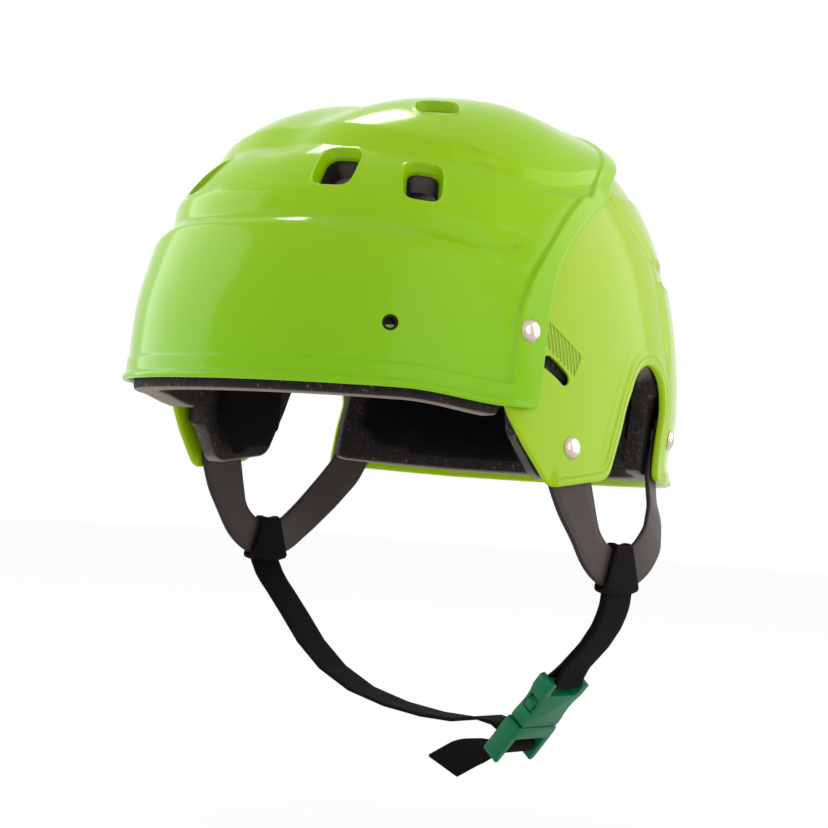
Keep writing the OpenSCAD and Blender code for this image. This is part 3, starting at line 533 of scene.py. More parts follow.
def holeFrame(surface, centre):  # millimetres across and up the wall for a step in the flat plan
    h = 1e-4
    p = surface(centre)
    slopes = np.stack([(surface(centre + [h, 0]) - p) / h, (surface(centre + [0, h]) - p) / h], 1)
    up = unit(slopes @ -centre)
    out = unit(np.cross(slopes[:, 0], slopes[:, 1]))
    out = out * np.sign(out @ np.array([p[0], p[1], 40]))
    across = np.cross(up, out)
    return np.stack([across, up]) @ slopes


def roundedBox(half, power):  # distance to a rounded rectangle's outline in each direction
    return lambda c, s: ((np.abs(c) / half[0]) ** power + (np.abs(s) / half[1]) ** power) ** (-1 / power)


def stadium(half, r):  # a slot with round ends: half its straight length along the first axis, and its radius
    def reach(c, s):
        side = r / np.maximum(np.abs(s), 1e-9)
        end = half * np.abs(c) + np.sqrt(np.maximum(r * r - (half * s) ** 2, 0))
        return np.where(side * np.abs(c) <= half, side, end)
    return reach


def cutHole(grid, keep, surface, hole, rowRange, rings, margin, lip=0.0):
    # Takes a block of cells out round a hole, fills up to its outline with rings, then runs the hole's wall in.
    # rings are (share of the outline, depth). Gives a list with the extra (points, faces), or an empty one.
    flat, depths, points = grid
    centre, outline = hole["centre"], hole["outline"]
    turn = math.radians(hole.get("turn", 0))
    c, s = math.cos(turn), math.sin(turn)
    toLocal = np.array([[c, s], [-s, c]]) @ holeFrame(surface, centre)
    rows = np.arange(*rowRange)
    local = (flat[rows] - centre) @ toLocal.T
    size = np.hypot(local[..., 0], local[..., 1])
    angle = np.arctan2(local[..., 1], local[..., 0])
    near = size < outline(np.cos(angle), np.sin(angle)) + margin
    if not near.any():
        return []
    r0, r1 = rows[near.any(1)][[0, -1]] + [-1, 1]
    c0, c1 = np.flatnonzero(near.any(0))[[0, -1]] + [-1, 1]
    r0, r1 = max(r0, rowRange[0]), min(r1, rowRange[1] - 1)
    keep[r0:r1, c0:c1] = False
    if rings is None:
        return []
    ring = np.array([(r0, i) for i in range(c0, c1)] + [(j, c1) for j in range(r0, r1)]
                    + [(r1, i) for i in range(c1, c0, -1)] + [(j, c0) for j in range(r1, r0, -1)])
    outer = (flat[ring[:, 0], ring[:, 1]] - centre) @ toLocal.T
    angle = np.arctan2(outer[:, 1], outer[:, 0])
    edge = outline(np.cos(angle), np.sin(angle))[:, None] * np.stack([np.cos(angle), np.sin(angle)], 1)
    back = np.linalg.inv(toLocal).T
    level = depths[(r0 + r1) // 2, (c0 + c1) // 2]
    out = [points[ring[:, 0], ring[:, 1]]]
    for t in (0.12, 0.25, 0.37, 0.48, 0.59, 0.69, 0.78, 0.86, 0.93, 1.0):
        out.append(surface(mix(outer, edge, t) @ back + centre, level + lip * smooth(0.7, 1, t)))
    for share, depth in rings:
        out.append(surface(edge * share @ back + centre, level + depth + lip))
    out = np.stack(out)
    faces = gridFaces(len(out), len(ring), closed=True)
    a, b, d = out[0, 0], out[0, 1], out[1, 0]
    outward = surface(centre, level + 1.0) - surface(centre, level)
    if np.cross(b - a, d - a) @ outward < 0:
        faces = faces[:, ::-1]
    return [(out.reshape(-1, 3), faces)]


def cutHoles(holes, grid, keep, surface, outerStart, innerStop, innerMargin):
    # every hole through the outer wall, then through the inner one
    parts = []
    for hole in holes:
        parts += cutHole(grid, keep, surface, hole, (outerStart, len(grid[0])), hole["rings"], hole["margin"],
                         hole.get("lip", 0.0))
        parts += cutHole(grid, keep, surface, hole, (0, innerStop), hole.get("innerRings"), innerMargin)
    return parts


def capPiece(name, boundary, centre, walls, surface, holes, material):
    # a domed cap: inner wall from the middle out, round the rim, and the outer wall back to the middle
    rows, outerStart, innerStop = walls
    n = len(boundary)
    grid = wallGrid(boundary, np.broadcast_to(centre, boundary.shape), rows, surface, True)
    depths, body = grid[1], grid[2].reshape(-1, 3)
    keep = np.ones((len(rows) - 1, n), bool)
    parts = cutHoles(holes, grid, keep, surface, outerStart, innerStop, 2.0)
    ends = np.stack([surface(centre, depths[0, 0]), surface(centre, depths[-1, 0])])
    i = np.arange(n)
    total, top = len(body), (len(rows) - 1) * n
    fans = np.concatenate([np.stack([(i + 1) % n, i, np.full(n, total)], 1),
                           np.stack([top + i, top + (i + 1) % n, np.full(n, total + 1)], 1)])
    faces = gridFaces(len(rows), n, True, keep).tolist() + fans.tolist()
    piece = addMesh(name, [(np.concatenate([body, ends]), faces)] + parts, material,
                    values={"edge": np.full(total + 2 + sum(len(p[0]) for p in parts), 50.0)})
    joinDoubles(piece)
    return piece


# two pairs of brow vents and a pair of crown vents, as azimuth, height and half sizes
vents = ((21.8, 88.9, 8.8, 12.4), (41.9, 83.6, 8.3, 10.4), (45.5, 118.8, 9.3, 8.4))


def ventHoles(rings, shrunk=0.0, **more):
    return [dict(centre=toFlat(np.array(a * side), z), outline=roundedBox((w - shrunk, h - shrunk), 3.8), rings=rings,
                 margin=2.4, **more) for a, z, w, h in vents for side in (1, -1)]


# front shell
frontSet = dict(columns=500, rows=134, rounding=1.6, centre=(0.0, -0.45), ventLip=0.35, screwAz=37.5, screwZ=25.0,
                screwR=3.45)
centre = np.array(frontSet["centre"])
walls = wallRows(dome["wall"], np.linspace(0.985, 0.04, 14), (15.4, 13.6, 9.6, 8.0, 4.2),
                 [1.8, 2.3, 2.7, 3.1, 3.6, 4.4, 5.6, *np.arange(6.6, 15.8, 0.44), 16.4, 17.6],
                 np.linspace(0, 0.99, frontSet["rows"]))
funnel = [(0.988, -0.06), (0.972, -0.24), (0.96, -0.55), (0.948, -1.1), (0.92, -2.1), (0.86, -3.6), (0.80, -5.2),
          (0.83, -5.4)]
screws = [dict(centre=toFlat(np.array(side * frontSet["screwAz"]), frontSet["screwZ"]), margin=1.6,
               outline=roundedBox((frontSet["screwR"], frontSet["screwR"]), 2.0),
               rings=[(0.97, -0.1), (0.93, -0.35), (0.92, -0.8), (0.92, -2.5)]) for side in (-1, 1)]
frontShell = capPiece("frontShell", capBoundary(0, 0, frontSet["columns"], frontSet["rounding"]), centre, walls,
                      frontSurface, ventHoles(funnel, lip=frontSet["ventLip"]) + screws, lime)
place(frontShell, "helmet", "shell", "front_shell")
print("front shell:", len(frontShell.data.polygons), "faces")

# rear shell: flaps, ear arches and neck guard, with a raised border and the slanted slots
rearSet = dict(columns=620, rows=60, slot=(77.6, 10.0), slotTurn=149.0, slotHalf=5.75, slotRadius=2.9, rounding=1.7,
               borderFrom=74.0)


def rearSurface(flat, depth=0.0):
    az, z, k = fromFlat(flat)
    return onDome(az, z, rearOut(az, z) + depth, k)


def lowEdge(lift=0.0, first=61.0):  # the left half of the lower edge of flap, arch and neck guard: azimuth, height
    arch = np.linspace(102.9, 120.9, 25)
    archZ = 4 + 16.5 * np.sqrt(1 - 0.97 * ((arch - 111.9) / 9.3) ** 2)
    line = [(61.0, -1), (62.3, -7), (66.5, -18.5), (73.0, -33.2), (75.0, -34.5), (92, -30), (93.7, -27.5), (98.4, -9.5),
            (100.6, 1), *zip(arch, archZ), (121.4, 2), (119.8, -11.5), (118.6, -27.2), (120.4, -28.8), (130, -29.5),
            (150, -30.7), (180, -31), (205, -31)]
    line = np.array(line) * [1.9, 1]
    dense = resample(line, 4000)
    step = np.linalg.norm(dense[1] - dense[0])
    dense = soften(dense, rearSet["rounding"] / step) / [1.9, 1]
    dense = dense[(dense[:, 0] <= 180) & (dense[:, 0] >= first)]
    dense[-1, 0] = 180
    return dense + [0, lift]


def ruledShell(name, edge, top, columns, walls, surface, material, borderFrom=None, holes=()):
    # a wall between its lower edge and its top line, both sides in one piece; the keys say which point of the
    # edge is drawn towards which (azimuth, height) and ends at which share of the top line
    rows, outerStart, innerStop = walls
    keys = np.array([
        (61, -1, 65.5, 5, 0), (66.5, -18.5, 70, -6, 0.08), (74, -34, 76.5, -10, 0.20), (84, -32, 84, -6, 0.28),
        (92.8, -29, 89, -4, 0.36), (98.5, -9.5, 93.5, 10, 0.43), (102.7, 11.5, 97.5, 27, 0.47),
        (111.5, 20.5, 111.5, 38, 0.56), (120.6, 11.5, 126, 26, 0.64), (121.3, 2, 129, 14, 0.68),
        (119.7, -11.5, 131, 3, 0.71), (118.7, -27, 132.5, -8, 0.75), (124, -29, 136, -11, 0.79),
        (140, -30, 147, -13, 0.85), (160, -31, 163, -15, 0.92), (180, -31, 180, -15, 1)])
    lowRun, topRun = runOf(surface(toFlat(edge[:, 0], edge[:, 1]))), runOf(surface(top))
    gap = (edge[None] - keys[:, None, :2]) * [1.9, 1]
    keyRun = lowRun[np.argmin(np.hypot(gap[..., 0], gap[..., 1]), axis=1)]
    at = np.linspace(0, lowRun[-1], columns // 2 + 1)
    pull = soften(np.stack([np.interp(at, keyRun, keys[:, i]) for i in (2, 3, 4)], 1), 6)
    az, z = np.interp(at, lowRun, edge[:, 0]), np.interp(at, lowRun, edge[:, 1])
    start, through = toFlat(az, z), toFlat(pull[:, 0], pull[:, 1])
    target = np.stack([np.interp(np.clip(pull[:, 2], 0, 1) * topRun[-1], topRun, top[:, i]) for i in range(2)], 1)
    target[-1, 0] = start[-1, 0] = through[-1, 0] = 0
    both = lambda p: np.concatenate([p, p[-2::-1] * [-1, 1]])
    start, target, through, az = both(start), both(target), both(through), np.concatenate([az, az[-2::-1]])
    grid = list(wallGrid(start, target, rows, surface, False, through))
    n = len(start)
    distance = np.array([r[0] if r[0] is not None else 60.0 for r in rows])[:, None] * np.ones(n)
    if borderFrom is not None:  # a raised border behind the flap's front corner
        outer = (np.arange(len(rows)) >= outerStart - 2)[:, None]
        behind = smooth(borderFrom, borderFrom + 1.5, az)
        border = 0.62 * (1 - ramp(4.6, 5.6, distance, 0.3)) + 0.25 * (1 - smooth(7.5, 9.5, distance))
        grid[1] = grid[1] + border * behind * outer
        grid[2] = surface(grid[0], grid[1])
        distance = mix(60.0, distance, behind)
    keep = np.ones((len(rows) - 1, n - 1), bool)
    parts = cutHoles(holes, grid, keep, surface, outerStart, innerStop, 1.6)
    last = (len(rows) - 1) * n
    i = np.arange(n - 1)
    lid = np.stack([last + i, last + i + 1, i + 1, i], 1).tolist()
    ends = [[j * n for j in range(len(rows))], [j * n + n - 1 for j in range(len(rows) - 1, -1, -1)]]
    faces = gridFaces(len(rows), n, False, keep).tolist() + lid + ends
    extra = np.full(sum(len(p[0]) for p in parts), 60.0)
    piece = addMesh(name, [(grid[2].reshape(-1, 3), faces)] + parts, material,
                    values={"edge": np.concatenate([distance.ravel(), extra])})
    joinDoubles(piece)
    return piece


flapEdge = lowEdge()
archAt = int(np.argmax(np.where((flapEdge[:, 0] > 105) & (flapEdge[:, 0] < 117), flapEdge[:, 1], -99)))

walls = wallRows(dome["wall"], np.linspace(1, 0.05, 14), (12.0, 8.0, 4.5),
                 (1.8, 2.4, 2.8, 3.2, 3.6, 4.2, 4.6, 4.9, 5.2, 5.5, 5.9, 6.6, 7.6, 8.6, 9.6, 11.0, 12.8),
                 np.linspace(0, 1, rearSet["rows"]))
slots = []
for side in (1, -1):
    end = toFlat(np.array(rearSet["slot"][0] * side), np.array(rearSet["slot"][1]))
    turn = rearSet["slotTurn"] if side > 0 else 180 - rearSet["slotTurn"]
    step = rearSet["slotHalf"] * np.array([math.cos(math.radians(turn)), math.sin(math.radians(turn))])
    slots.append(dict(centre=end + np.linalg.solve(holeFrame(rearSurface, end), step), turn=turn, margin=1.6,
                      outline=stadium(rearSet["slotHalf"], rearSet["slotRadius"]),
                      rings=[(0.985, -0.10), (0.96, -0.35), (0.95, -0.9), (1.06, -1.2), (1.16, -2.3)]))
rearShell = ruledShell("rearShell", flapEdge, seamLine(-11.4, 4), rearSet["columns"], walls, rearSurface, rearLime,
                       rearSet["borderFrom"], slots)
place(rearShell, "helmet", "shell", "rear_shell")
print("rear shell:", len(rearShell.data.polygons), "faces")

# foam liners
linerSet = dict(wall=11.6, rearWall=11.3, columns=420, rows=44, lip=4.0, rim=1.6)


def linerSurface(flat, depth=0.0):  # follows the shell's hollows outside, smooth inside
    az, z, k = fromFlat(flat)
    share = np.clip(1 + depth / 6, 0, 1)
    return onDome(az, z, np.minimum(frontOut(az, z, k), 0) * share - 3.1 + depth, k)


def rearLinerSurface(flat, depth=0.0):  # with flat pockets behind the shell where the ear straps lie
    az, z, k = fromFlat(flat)
    d = np.abs(az)
    flap, nape = smooth(65, 67, d) * (1 - smooth(92, 95, d)), smooth(112, 116, d) * (1 - smooth(136, 141, d))
    pocket = (1 - smooth(4, 10, z)) * (flap + nape)
    return onDome(az, z, -3.45 - 3.8 * pocket * np.clip(1 + depth / 6, 0, 1) + depth, k)


wall = linerSet["wall"]
walls = wallRows(wall, np.linspace(0.985, 0.03, 40), (9.0, 4.5), (3.0, 5.0, 8.0),
                 np.linspace(0, 0.985, linerSet["rows"]), linerSet["rim"])
linerHoles = ventHoles([(0.98, -0.3), (0.96, -1.0), (0.95, -wall * 0.5), (0.95, -wall)], 0.9, innerRings=[(0.95, 0.0)])
frontLiner = capPiece("frontLiner", capBoundary(-15.5, linerSet["lip"], linerSet["columns"], 2.5), centre, walls,
                      linerSurface, linerHoles, foam)
place(frontLiner, "helmet", "foam", "front_liner")

walls = wallRows(linerSet["rearWall"], np.linspace(1, 0.05, 16), (8.0, 4.0), (3.0, 5.0, 8.0), np.linspace(0, 1, 22),
                 linerSet["rim"])
rearLiner = ruledShell("rearLiner", lowEdge(3.0, 66.0), seamLine(-10.4, 4)[4:], linerSet["columns"], walls,
                       rearLinerSurface, foam)
place(rearLiner, "helmet", "foam", "rear_liner")
print("liners made")

# comfort pads: closed cushions with pillowed faces, swollen by a short cloth simulation
padSet = dict(off=15.7, wall=7.4, power=3.0, pressure=4.0, voxel=0.0045, cap=0.0022, frames=20)


def squared(v):  # a sine or cosine of the pads' superellipse section
    return np.sign(v) * np.abs(v) ** (2 / padSet["power"])


def padDepth(out):  # from the skin's outer side at 1 to its inner side at -1
    return -padSet["off"] - padSet["wall"] / 2 + padSet["wall"] / 2 * out


def closedPad(name, points):  # rows of points as a skin, closed at its two ends
    rows, around = points.shape[:2]
    ends = [list(range(around))[::-1], [(rows - 1) * around + i for i in range(around)]]
    piece = addMesh(name, [(points, gridFaces(rows, around, True).tolist() + ends)], cloth)
    joinDoubles(piece, 1e-5, turn=True)
    return piece


def cushion(name, first, last, low, high, count=60, around=36):
    # a superellipse section carried round the dome from one azimuth to another, closing at both ends
    s = (1 - np.cos(np.linspace(0, math.pi, count))) / 2
    az = mix(first, last, s)[:, None]
    end = (1 - np.abs(2 * s - 1) ** 6)[:, None] ** (1 / 2.6)
    turn = np.linspace(0, 2 * math.pi, around, endpoint=False)[None]
    lowZ = (low(np.abs(az)) if callable(low) else low) + 0 * az
    swing = (1 - 0.25 * (1 - end)) * squared(np.cos(turn)) * np.maximum(end, 0.02) ** 0.6
    z = (lowZ + high) / 2 + (high - lowZ) / 2 * swing
    return closedPad(name, onDome(az + 0 * z, z, padDepth(squared(np.sin(turn)) * end)))


def crownCushion(name, reach, rows=24, around=72):  # the same section turned about the crown
    turn = np.linspace(-math.pi / 2, math.pi / 2, rows)[:, None]
    angle = np.linspace(0, 2 * math.pi, around, endpoint=False)[None]
    rho = reach * squared(np.cos(turn)) + 1e-4
    az, z, k = fromFlat(np.stack([rho * np.sin(angle), -rho * np.cos(angle)], -1))
    return closedPad(name, onDome(az, z, padDepth(squared(np.sin(turn))) + 0 * z, k))


def applied(piece):  # the piece's modifiers made part of its mesh
    mesh = bpy.data.meshes.new_from_object(piece.evaluated_get(bpy.context.evaluated_depsgraph_get()))
    piece.modifiers.clear()
    piece.data = mesh
    if not mesh.materials:
        mesh.materials.append(cloth)
    mesh.shade_smooth()


def swell(piece):  # pressure with no gravity for a few frames; no point moves further than the cap
    addModifier(piece, "REMESH", mode="VOXEL", voxel_size=padSet["voxel"])
    applied(piece)
    cover = piece.modifiers.new("cover", "CLOTH")
    cover.settings.use_pressure = True
    cover.settings.uniform_pressure_force = padSet["pressure"]
    cover.settings.effector_weights.gravity = 0
    cover.settings.quality = 5
    start = np.empty(len(piece.data.vertices) * 3)
    piece.data.vertices.foreach_get("co", start)
    for tick in range(1, padSet["frames"] + 1):
        bpy.context.scene.frame_set(tick)
    swollen = piece.evaluated_get(bpy.context.evaluated_depsgraph_get()).to_mesh()
    after = np.empty_like(start)
    swollen.vertices.foreach_get("co", after)
    move = (after - start).reshape(-1, 3)
    size = np.linalg.norm(move, axis=1, keepdims=True)
    move *= np.minimum(1, padSet["cap"] / np.maximum(size, 1e-9))
    piece.modifiers.clear()
    piece.data.vertices.foreach_set("co", (start.reshape(-1, 3) + move).ravel())
    piece.data.update()
    bpy.context.scene.frame_set(1)
    addModifier(piece, "SUBSURF", levels=1, render_levels=1)


def templeLow(d):  # a little above the flap's edge
    return np.interp(d, flapEdge[:archAt, 0], flapEdge[:archAt, 1]) + 4.8


pads = [("brow_pad", cushion("browPad", -50, 50, 3.6, 37.4)),
        ("left_temple_pad", cushion("leftTemplePad", 66.5, 94.5, templeLow, 27.4, 40)),
        ("right_temple_pad", cushion("rightTemplePad", -94.5, -66.5, templeLow, 27.4, 40)),
        ("nape_pad", cushion("napePad", 124.6, 235.4, -24.4, 21.4, 70)), ("crown_pad", crownCushion("crownPad", 0.52))]
for node, piece in pads:
    swell(piece)
    place(piece, "helmet", "pad", node)
    box = [[round(v * 1000) for v in c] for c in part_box(node)]
    print("pad", piece.name, [round(c * 1000) for c in piece.dimensions], "box", box)


# bands: ear straps, loops and webbing
def bandSection(thick, r):  # a flat band with rounded edges as (share of the half width, extra, lift)
    corner = [(1, -r, -thick / 2), (1, -r * 0.29, -thick / 2 + r * 0.29), (1, 0, -thick / 2 + r), (1, 0, thick / 2 - r),
              (1, -r * 0.29, thick / 2 - r * 0.29), (1, -r, thick / 2)]
    flatTop = [(s, 0, thick / 2) for s in (0.55, 0, -0.55)]
    other = [(-a, -b, c) for a, b, c in corner[::-1]]
    return np.array(corner + flatTop + other + [(s, 0, -thick / 2) for s in (-0.55, 0, 0.55)])


def sweepBand(name, middle, across, normal, half, thick, material, r=0.6, closed=False, bend=None):
    # the section carried along a line; across and normal are unit vectors at each station
    if closed:
        middle, across, normal = (np.concatenate([a, a[:1]]) for a in (middle, across, normal))
    half = np.broadcast_to(half, len(middle))
    share, extra, lift = bandSection(thick, r).T
    reach = share * half[:, None] + extra
    points = middle[:, None] + across[:, None] * reach[..., None] + normal[:, None] * lift[None, :, None]
    run = runOf(middle)
    n, m = reach.shape
    faces = gridFaces(n, m, True).tolist()
    if not closed:
        faces += [list(range(m)), [(n - 1) * m + i for i in range(m - 1, -1, -1)]]
    points = points.reshape(-1, 3) if bend is None else bend(points.reshape(-1, 3))
    uv = np.stack([np.broadcast_to(run[:, None], reach.shape), reach], -1).reshape(-1, 2)
    edge = (half[:, None] - np.abs(reach)).ravel()
    piece = addMesh(name, [(points, faces)], material, uv=uv, values={"edge": edge})
    joinDoubles(piece, 1e-6, turn=True)
    return piece


def wallNormal(az, z, off):  # a place on the dome and the direction straight out of it
    az, z = np.float64(az), np.float64(z)
    around = onDome(az + 2, z, off) - onDome(az - 2, z, off)
    up = onDome(az, z + 4, off) - onDome(az, z - 4, off)
    return onDome(az, z, off), unit(np.cross(around, up)), unit(up)


# ear straps: a Y of one flexible band from the flap's rivet round below the ear to the nape's rivet
strapSet = dict(thick=2.0, corner=0.75, depth=4.45, curveR=27.0, curveX=104.5, curveY=20.0, curveZ=-40.0, half=8.5)


def strapStation(az, z, half):
    p, out, _ = wallNormal(az, z, -strapSet["depth"])
    return [*p, half, math.degrees(math.atan2(out[0], -out[1]))]


def onCurve(turn, r):  # Y and Z on a circle about the middle of the strap's lower curve
    return strapSet["curveY"] + r * np.sin(turn), strapSet["curveZ"] - r * np.cos(turn)


# each station is a place, the half width and the way that the strap faces, in degrees
stations = [strapStation(79.8, -7, 11.5), strapStation(80, -18, 12.5), strapStation(81.4, -28, 12.6),
            [103.3, -11, -39, 11.6, 88]]
for a in np.arange(-60, 43, 8.5):
    stations.append([strapSet["curveX"], *onCurve(math.radians(a), strapSet["curveR"]), strapSet["half"], 90])
stations += [[103.2, 45.4, -53.6, 8.7, 95], [98.4, 53, -43, 9, 103], [91.7, 58.4, -31.5, 9, 111],
             strapStation(125, -20, 9), strapStation(127.6, -10, 9), strapStation(127.8, -2, 8.6)]
dense = curveThrough(stations, 110, 1.6)
facing = np.radians(dense[:, 4])
for side, name, node in ((1, "leftEarStrap", "left_ear_strap"), (-1, "rightEarStrap", "right_ear_strap")):
    middle = dense[:, :3] * [side, 1, 1]
    along = unit(np.gradient(middle, axis=0))
    wide = unit(np.cross(along, np.stack([side * np.sin(facing), -np.cos(facing), 0 * facing], 1)))
    strap = sweepBand(name, middle, wide, unit(np.cross(wide, along)), dense[:, 3], strapSet["thick"], strapSkin,
                      strapSet["corner"])
    place(strap, "helmet", "ear_strap", node)
print("ear straps made")


# rivets: domed caps on the strip, the flaps and the nape
rivetSet = dict(r=4.7, high=2.1, shank=2.0)


def turned(profile, origin, axis, up, steps=48):  # a profile of (radius, height) turned about an axis
    across = unit(np.cross(up, axis))
    up = np.cross(axis, across)
    a = np.linspace(0, 2 * math.pi, steps, endpoint=False)[None, :, None]
    r, h = profile[:, None, :1], profile[:, None, 1:]
    points = origin + (across * np.cos(a) + up * np.sin(a)) * r + axis * h
    return points.reshape(-1, 3), gridFaces(len(profile), steps, True).tolist()


def capProfile(grip):
    r, high, shank = rivetSet["r"], rivetSet["high"], rivetSet["shank"]
    a = np.linspace(0, math.pi / 2, 12)[::-1]
    crown = np.stack([(r - 0.35) * np.sin(a), 0.45 + (high - 0.45) * np.cos(a)], 1)
    low = [(0.001, -grip), (shank, -grip), (shank, -0.1), (r - 0.5, -0.1), (r - 0.12, 0.0), (r, 0.18), (r - 0.1, 0.36)]
    return np.concatenate([low, crown[:-1], [[0.001, high]]])


napeOff = float(rearOut(np.float64(127.7), np.float64(-10)))
for name, node, az, z, off, grip in (
        ("seamRivets", "seam_rivets", 66.4, 26.2, 2.9, 6.15), ("flapRivets", "flap_rivets", 80.5, -18, -0.35, 5.3),
        ("napeRivets", "nape_rivets", 127.7, -10, napeOff, napeOff + strapSet["depth"] + 1.2)):
    parts = []
    for side in (1, -1):
        p, out, up = wallNormal(az * side, z, off)
        parts.append(turned(capProfile(grip), p, out, up))
    rivets = addMesh(name, parts, nickel)
    joinDoubles(rivets, 2e-6, turn=True)
    place(rivets, "helmet", "nickel", node)
for node, material in (("seam_washers", steel), ("flap_washers", steel), ("nape_washers", steel),
                       ("left_visor_insert", brass), ("right_visor_insert", brass)):
    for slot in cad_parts[node].material_slots:
        slot.link = "OBJECT"
        slot.material = material
print("rivets made")

# sewn loops round the ear straps
loopSet = dict(inX=1.7, inR=9.2, thick=1.6, corner=1.5, half=9.0)


def ringPath(halfX, halfR, corner, count=120):  # a rounded rectangle as a closed line
    a = np.linspace(0, 2 * math.pi, 160, endpoint=False)
    around = np.stack([np.cos(a), np.sin(a)], 1)
    box = np.clip(around * 1e3, -1, 1) * (np.array([halfX, halfR]) - corner) + corner * around
    return resample(box, count, closed=True)


def inPlane(path, closed):  # unit normals of a line in its plane
    t = unit(np.roll(path, -1, 0) - np.roll(path, 1, 0) if closed else np.gradient(path, axis=0))
    return np.stack([t[:, 1], -t[:, 0]], 1)


def upright(p, y=0.0):  # places or directions in the XZ plane as ones in space
    return np.stack([p[:, 0], np.full(len(p), y), p[:, 1]], 1)


def roundStrap(p):  # bent round the ear strap's lower curve
    return np.stack([p[:, 0], *onCurve(p[:, 1] / strapSet["curveR"], strapSet["curveR"] + p[:, 2])], 1)


path = ringPath(loopSet["inX"] + loopSet["thick"] / 2, loopSet["inR"] + loopSet["thick"] / 2, loopSet["corner"])
across = np.tile([0.0, 1.0, 0.0], (len(path), 1))
for side, name, node in ((1, "leftLoop", "left_sewn_loop"), (-1, "rightLoop", "right_sewn_loop")):
    loop = sweepBand(name, upright(path + [side * strapSet["curveX"], 0]), across, upright(inPlane(path, True)),
                     loopSet["half"], loopSet["thick"], loopWebbing, 0.55, True, roundStrap)
    place(loop, "chin_strap", "webbing", node)


# chin strap webbing, and where the buckle stands on it
tapeSet = dict(half=9.0, thick=1.6, loopR=37.0, tail=42.0, twist=-37.0)
buckleAt = dict(x=66.5, y=20.0, z=-132.0, slope=math.radians(51))


def fromBuckle(u, w):  # X and Z of a place along and up from the buckle's middle
    c, s = math.cos(buckleAt["slope"]), math.sin(buckleAt["slope"])
    return [buckleAt["x"] + u * c - w * s, buckleAt["z"] + u * s + w * c]


def roundBar(u, r, angles):  # the tape's turn round one of the buckle's bars
    return [fromBuckle(u + r * math.cos(math.radians(a)), r * math.sin(math.radians(a))) for a in angles]


def upToLoop(p):  # the tape's top follows the round lower edge of its sewn loop
    reach = p[:, 1] - buckleAt["y"]
    rise = (tapeSet["loopR"] + 0.6 - np.sqrt(tapeSet["loopR"] ** 2 - reach ** 2)) * smooth(-88, -78.5, p[:, 2])
    return p + np.stack([0 * rise, 0 * rise, rise], 1)


def webBand(name, line, count, width, twist=0.0, over=40):
    # a tape across Y on a line in the XZ plane, turned by an angle over its last millimetres
    path = curveThrough(line, count, width)
    out, side = upright(inPlane(path, False)), np.array([0.0, 1.0, 0.0])
    run = runOf(path)
    t = np.radians(twist) * smooth(over, 0.35 * over, run[-1] - run)[:, None]
    across, normal = np.cos(t) * side + np.sin(t) * out, np.cos(t) * out - np.sin(t) * side
    return sweepBand(name, upright(path, buckleAt["y"]), across, normal, tapeSet["half"], tapeSet["thick"], webbing,
                     bend=upToLoop)


barU = -16.5
tailStart = np.array(fromBuckle(barU - 3, 4))
rightLine = [(-104.5, -77.9), (-104.5, -78.9), (-100.9, -83.5), (-92.9, -90.5), (-82, -100.9), (-70, -112.9),
             (-55, -123.5), (-36, -131.5), (-14, -136), (8, -138), (26, -138), fromBuckle(-19, 18),
             fromBuckle(-14.5, 10.5), fromBuckle(barU + 3, 4), fromBuckle(barU + 3, 0),
             *roundBar(barU, 3, range(-30, -151, -30)), fromBuckle(barU - 3, 0), tailStart, tailStart + [-7, -1.2],
             *(tailStart + np.array([(-0.55, -0.2), (-0.83, -0.36)]) * tapeSet["tail"])]
rightWebbing = webBand("rightWebbing", rightLine, 320, 0.45, tapeSet["twist"])
place(rightWebbing, "chin_strap", "webbing", "right_webbing")

leftMiddle = curveThrough([(104.5, -77.9), (104.5, -78.9), (103.9, -82.9), (100.3, -90.9), (94.7, -98.9),
                           fromBuckle(30.3, 0)], 40, 1.0)
out = inPlane(leftMiddle, False)
upper, lower = leftMiddle - out * 0.9, leftMiddle + out * 0.9
if (upper[-1] - lower[-1]) @ [-math.sin(buckleAt["slope"]), math.cos(buckleAt["slope"])] < 0:
    upper, lower = lower, upper
leftLine = np.concatenate([upper, [fromBuckle(25.8, 1.6)], roundBar(21.3, 2.7, range(60, 301, 20)),
                           [fromBuckle(25.8, -1.6)], lower[::-1]])
leftWebbing = webBand("leftWebbing", leftLine, 200, 0.35)
place(leftWebbing, "chin_strap", "webbing", "left_webbing")
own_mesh(leftWebbing)
print("webbing made")


# side-release buckle
def onBuckle(points):  # from the buckle's own (along, across, up) to the helmet's axes
    u, y, w = points.T
    x, z = fromBuckle(u, w)
    return np.stack([x, buckleAt["y"] + y, z], 1)


def slab(outline, low, high):  # a closed outline in (along, across) made solid between two heights
    outline = np.asarray(outline, float)
    n = len(outline)
    points = np.concatenate([np.column_stack([outline, np.full(n, h)]) for h in (low, high)])
    i = np.arange(n)
    sides = np.stack([i, (i + 1) % n, n + (i + 1) % n, n + i], 1).tolist()
    return points, sides + [list(range(n))[::-1], list(range(n, 2 * n))]


def softOutline(corners, width=0.5, count=120):  # the corners of an outline rounded
    dense = resample(np.asarray(corners, float), 1200, closed=True)
    step = np.linalg.norm(dense[1] - dense[0])
    return resample(soften(dense, width / step, True), count, closed=True)


def bar(u, r, half, steps=28):  # a round bar across the buckle with softened ends
    a = np.linspace(0, 2 * math.pi, steps, endpoint=False)[None]
    y = np.array([-half, -half, -half + 0.4, half - 0.4, half, half])[:, None]
    size = np.array([0.02, r - 0.4, r, r, r - 0.4, 0.02])[:, None]
    points = np.stack(np.broadcast_arrays(u + size * np.cos(a), y, size * np.sin(a)), -1)
    return points.reshape(-1, 3), gridFaces(6, steps, True).tolist()


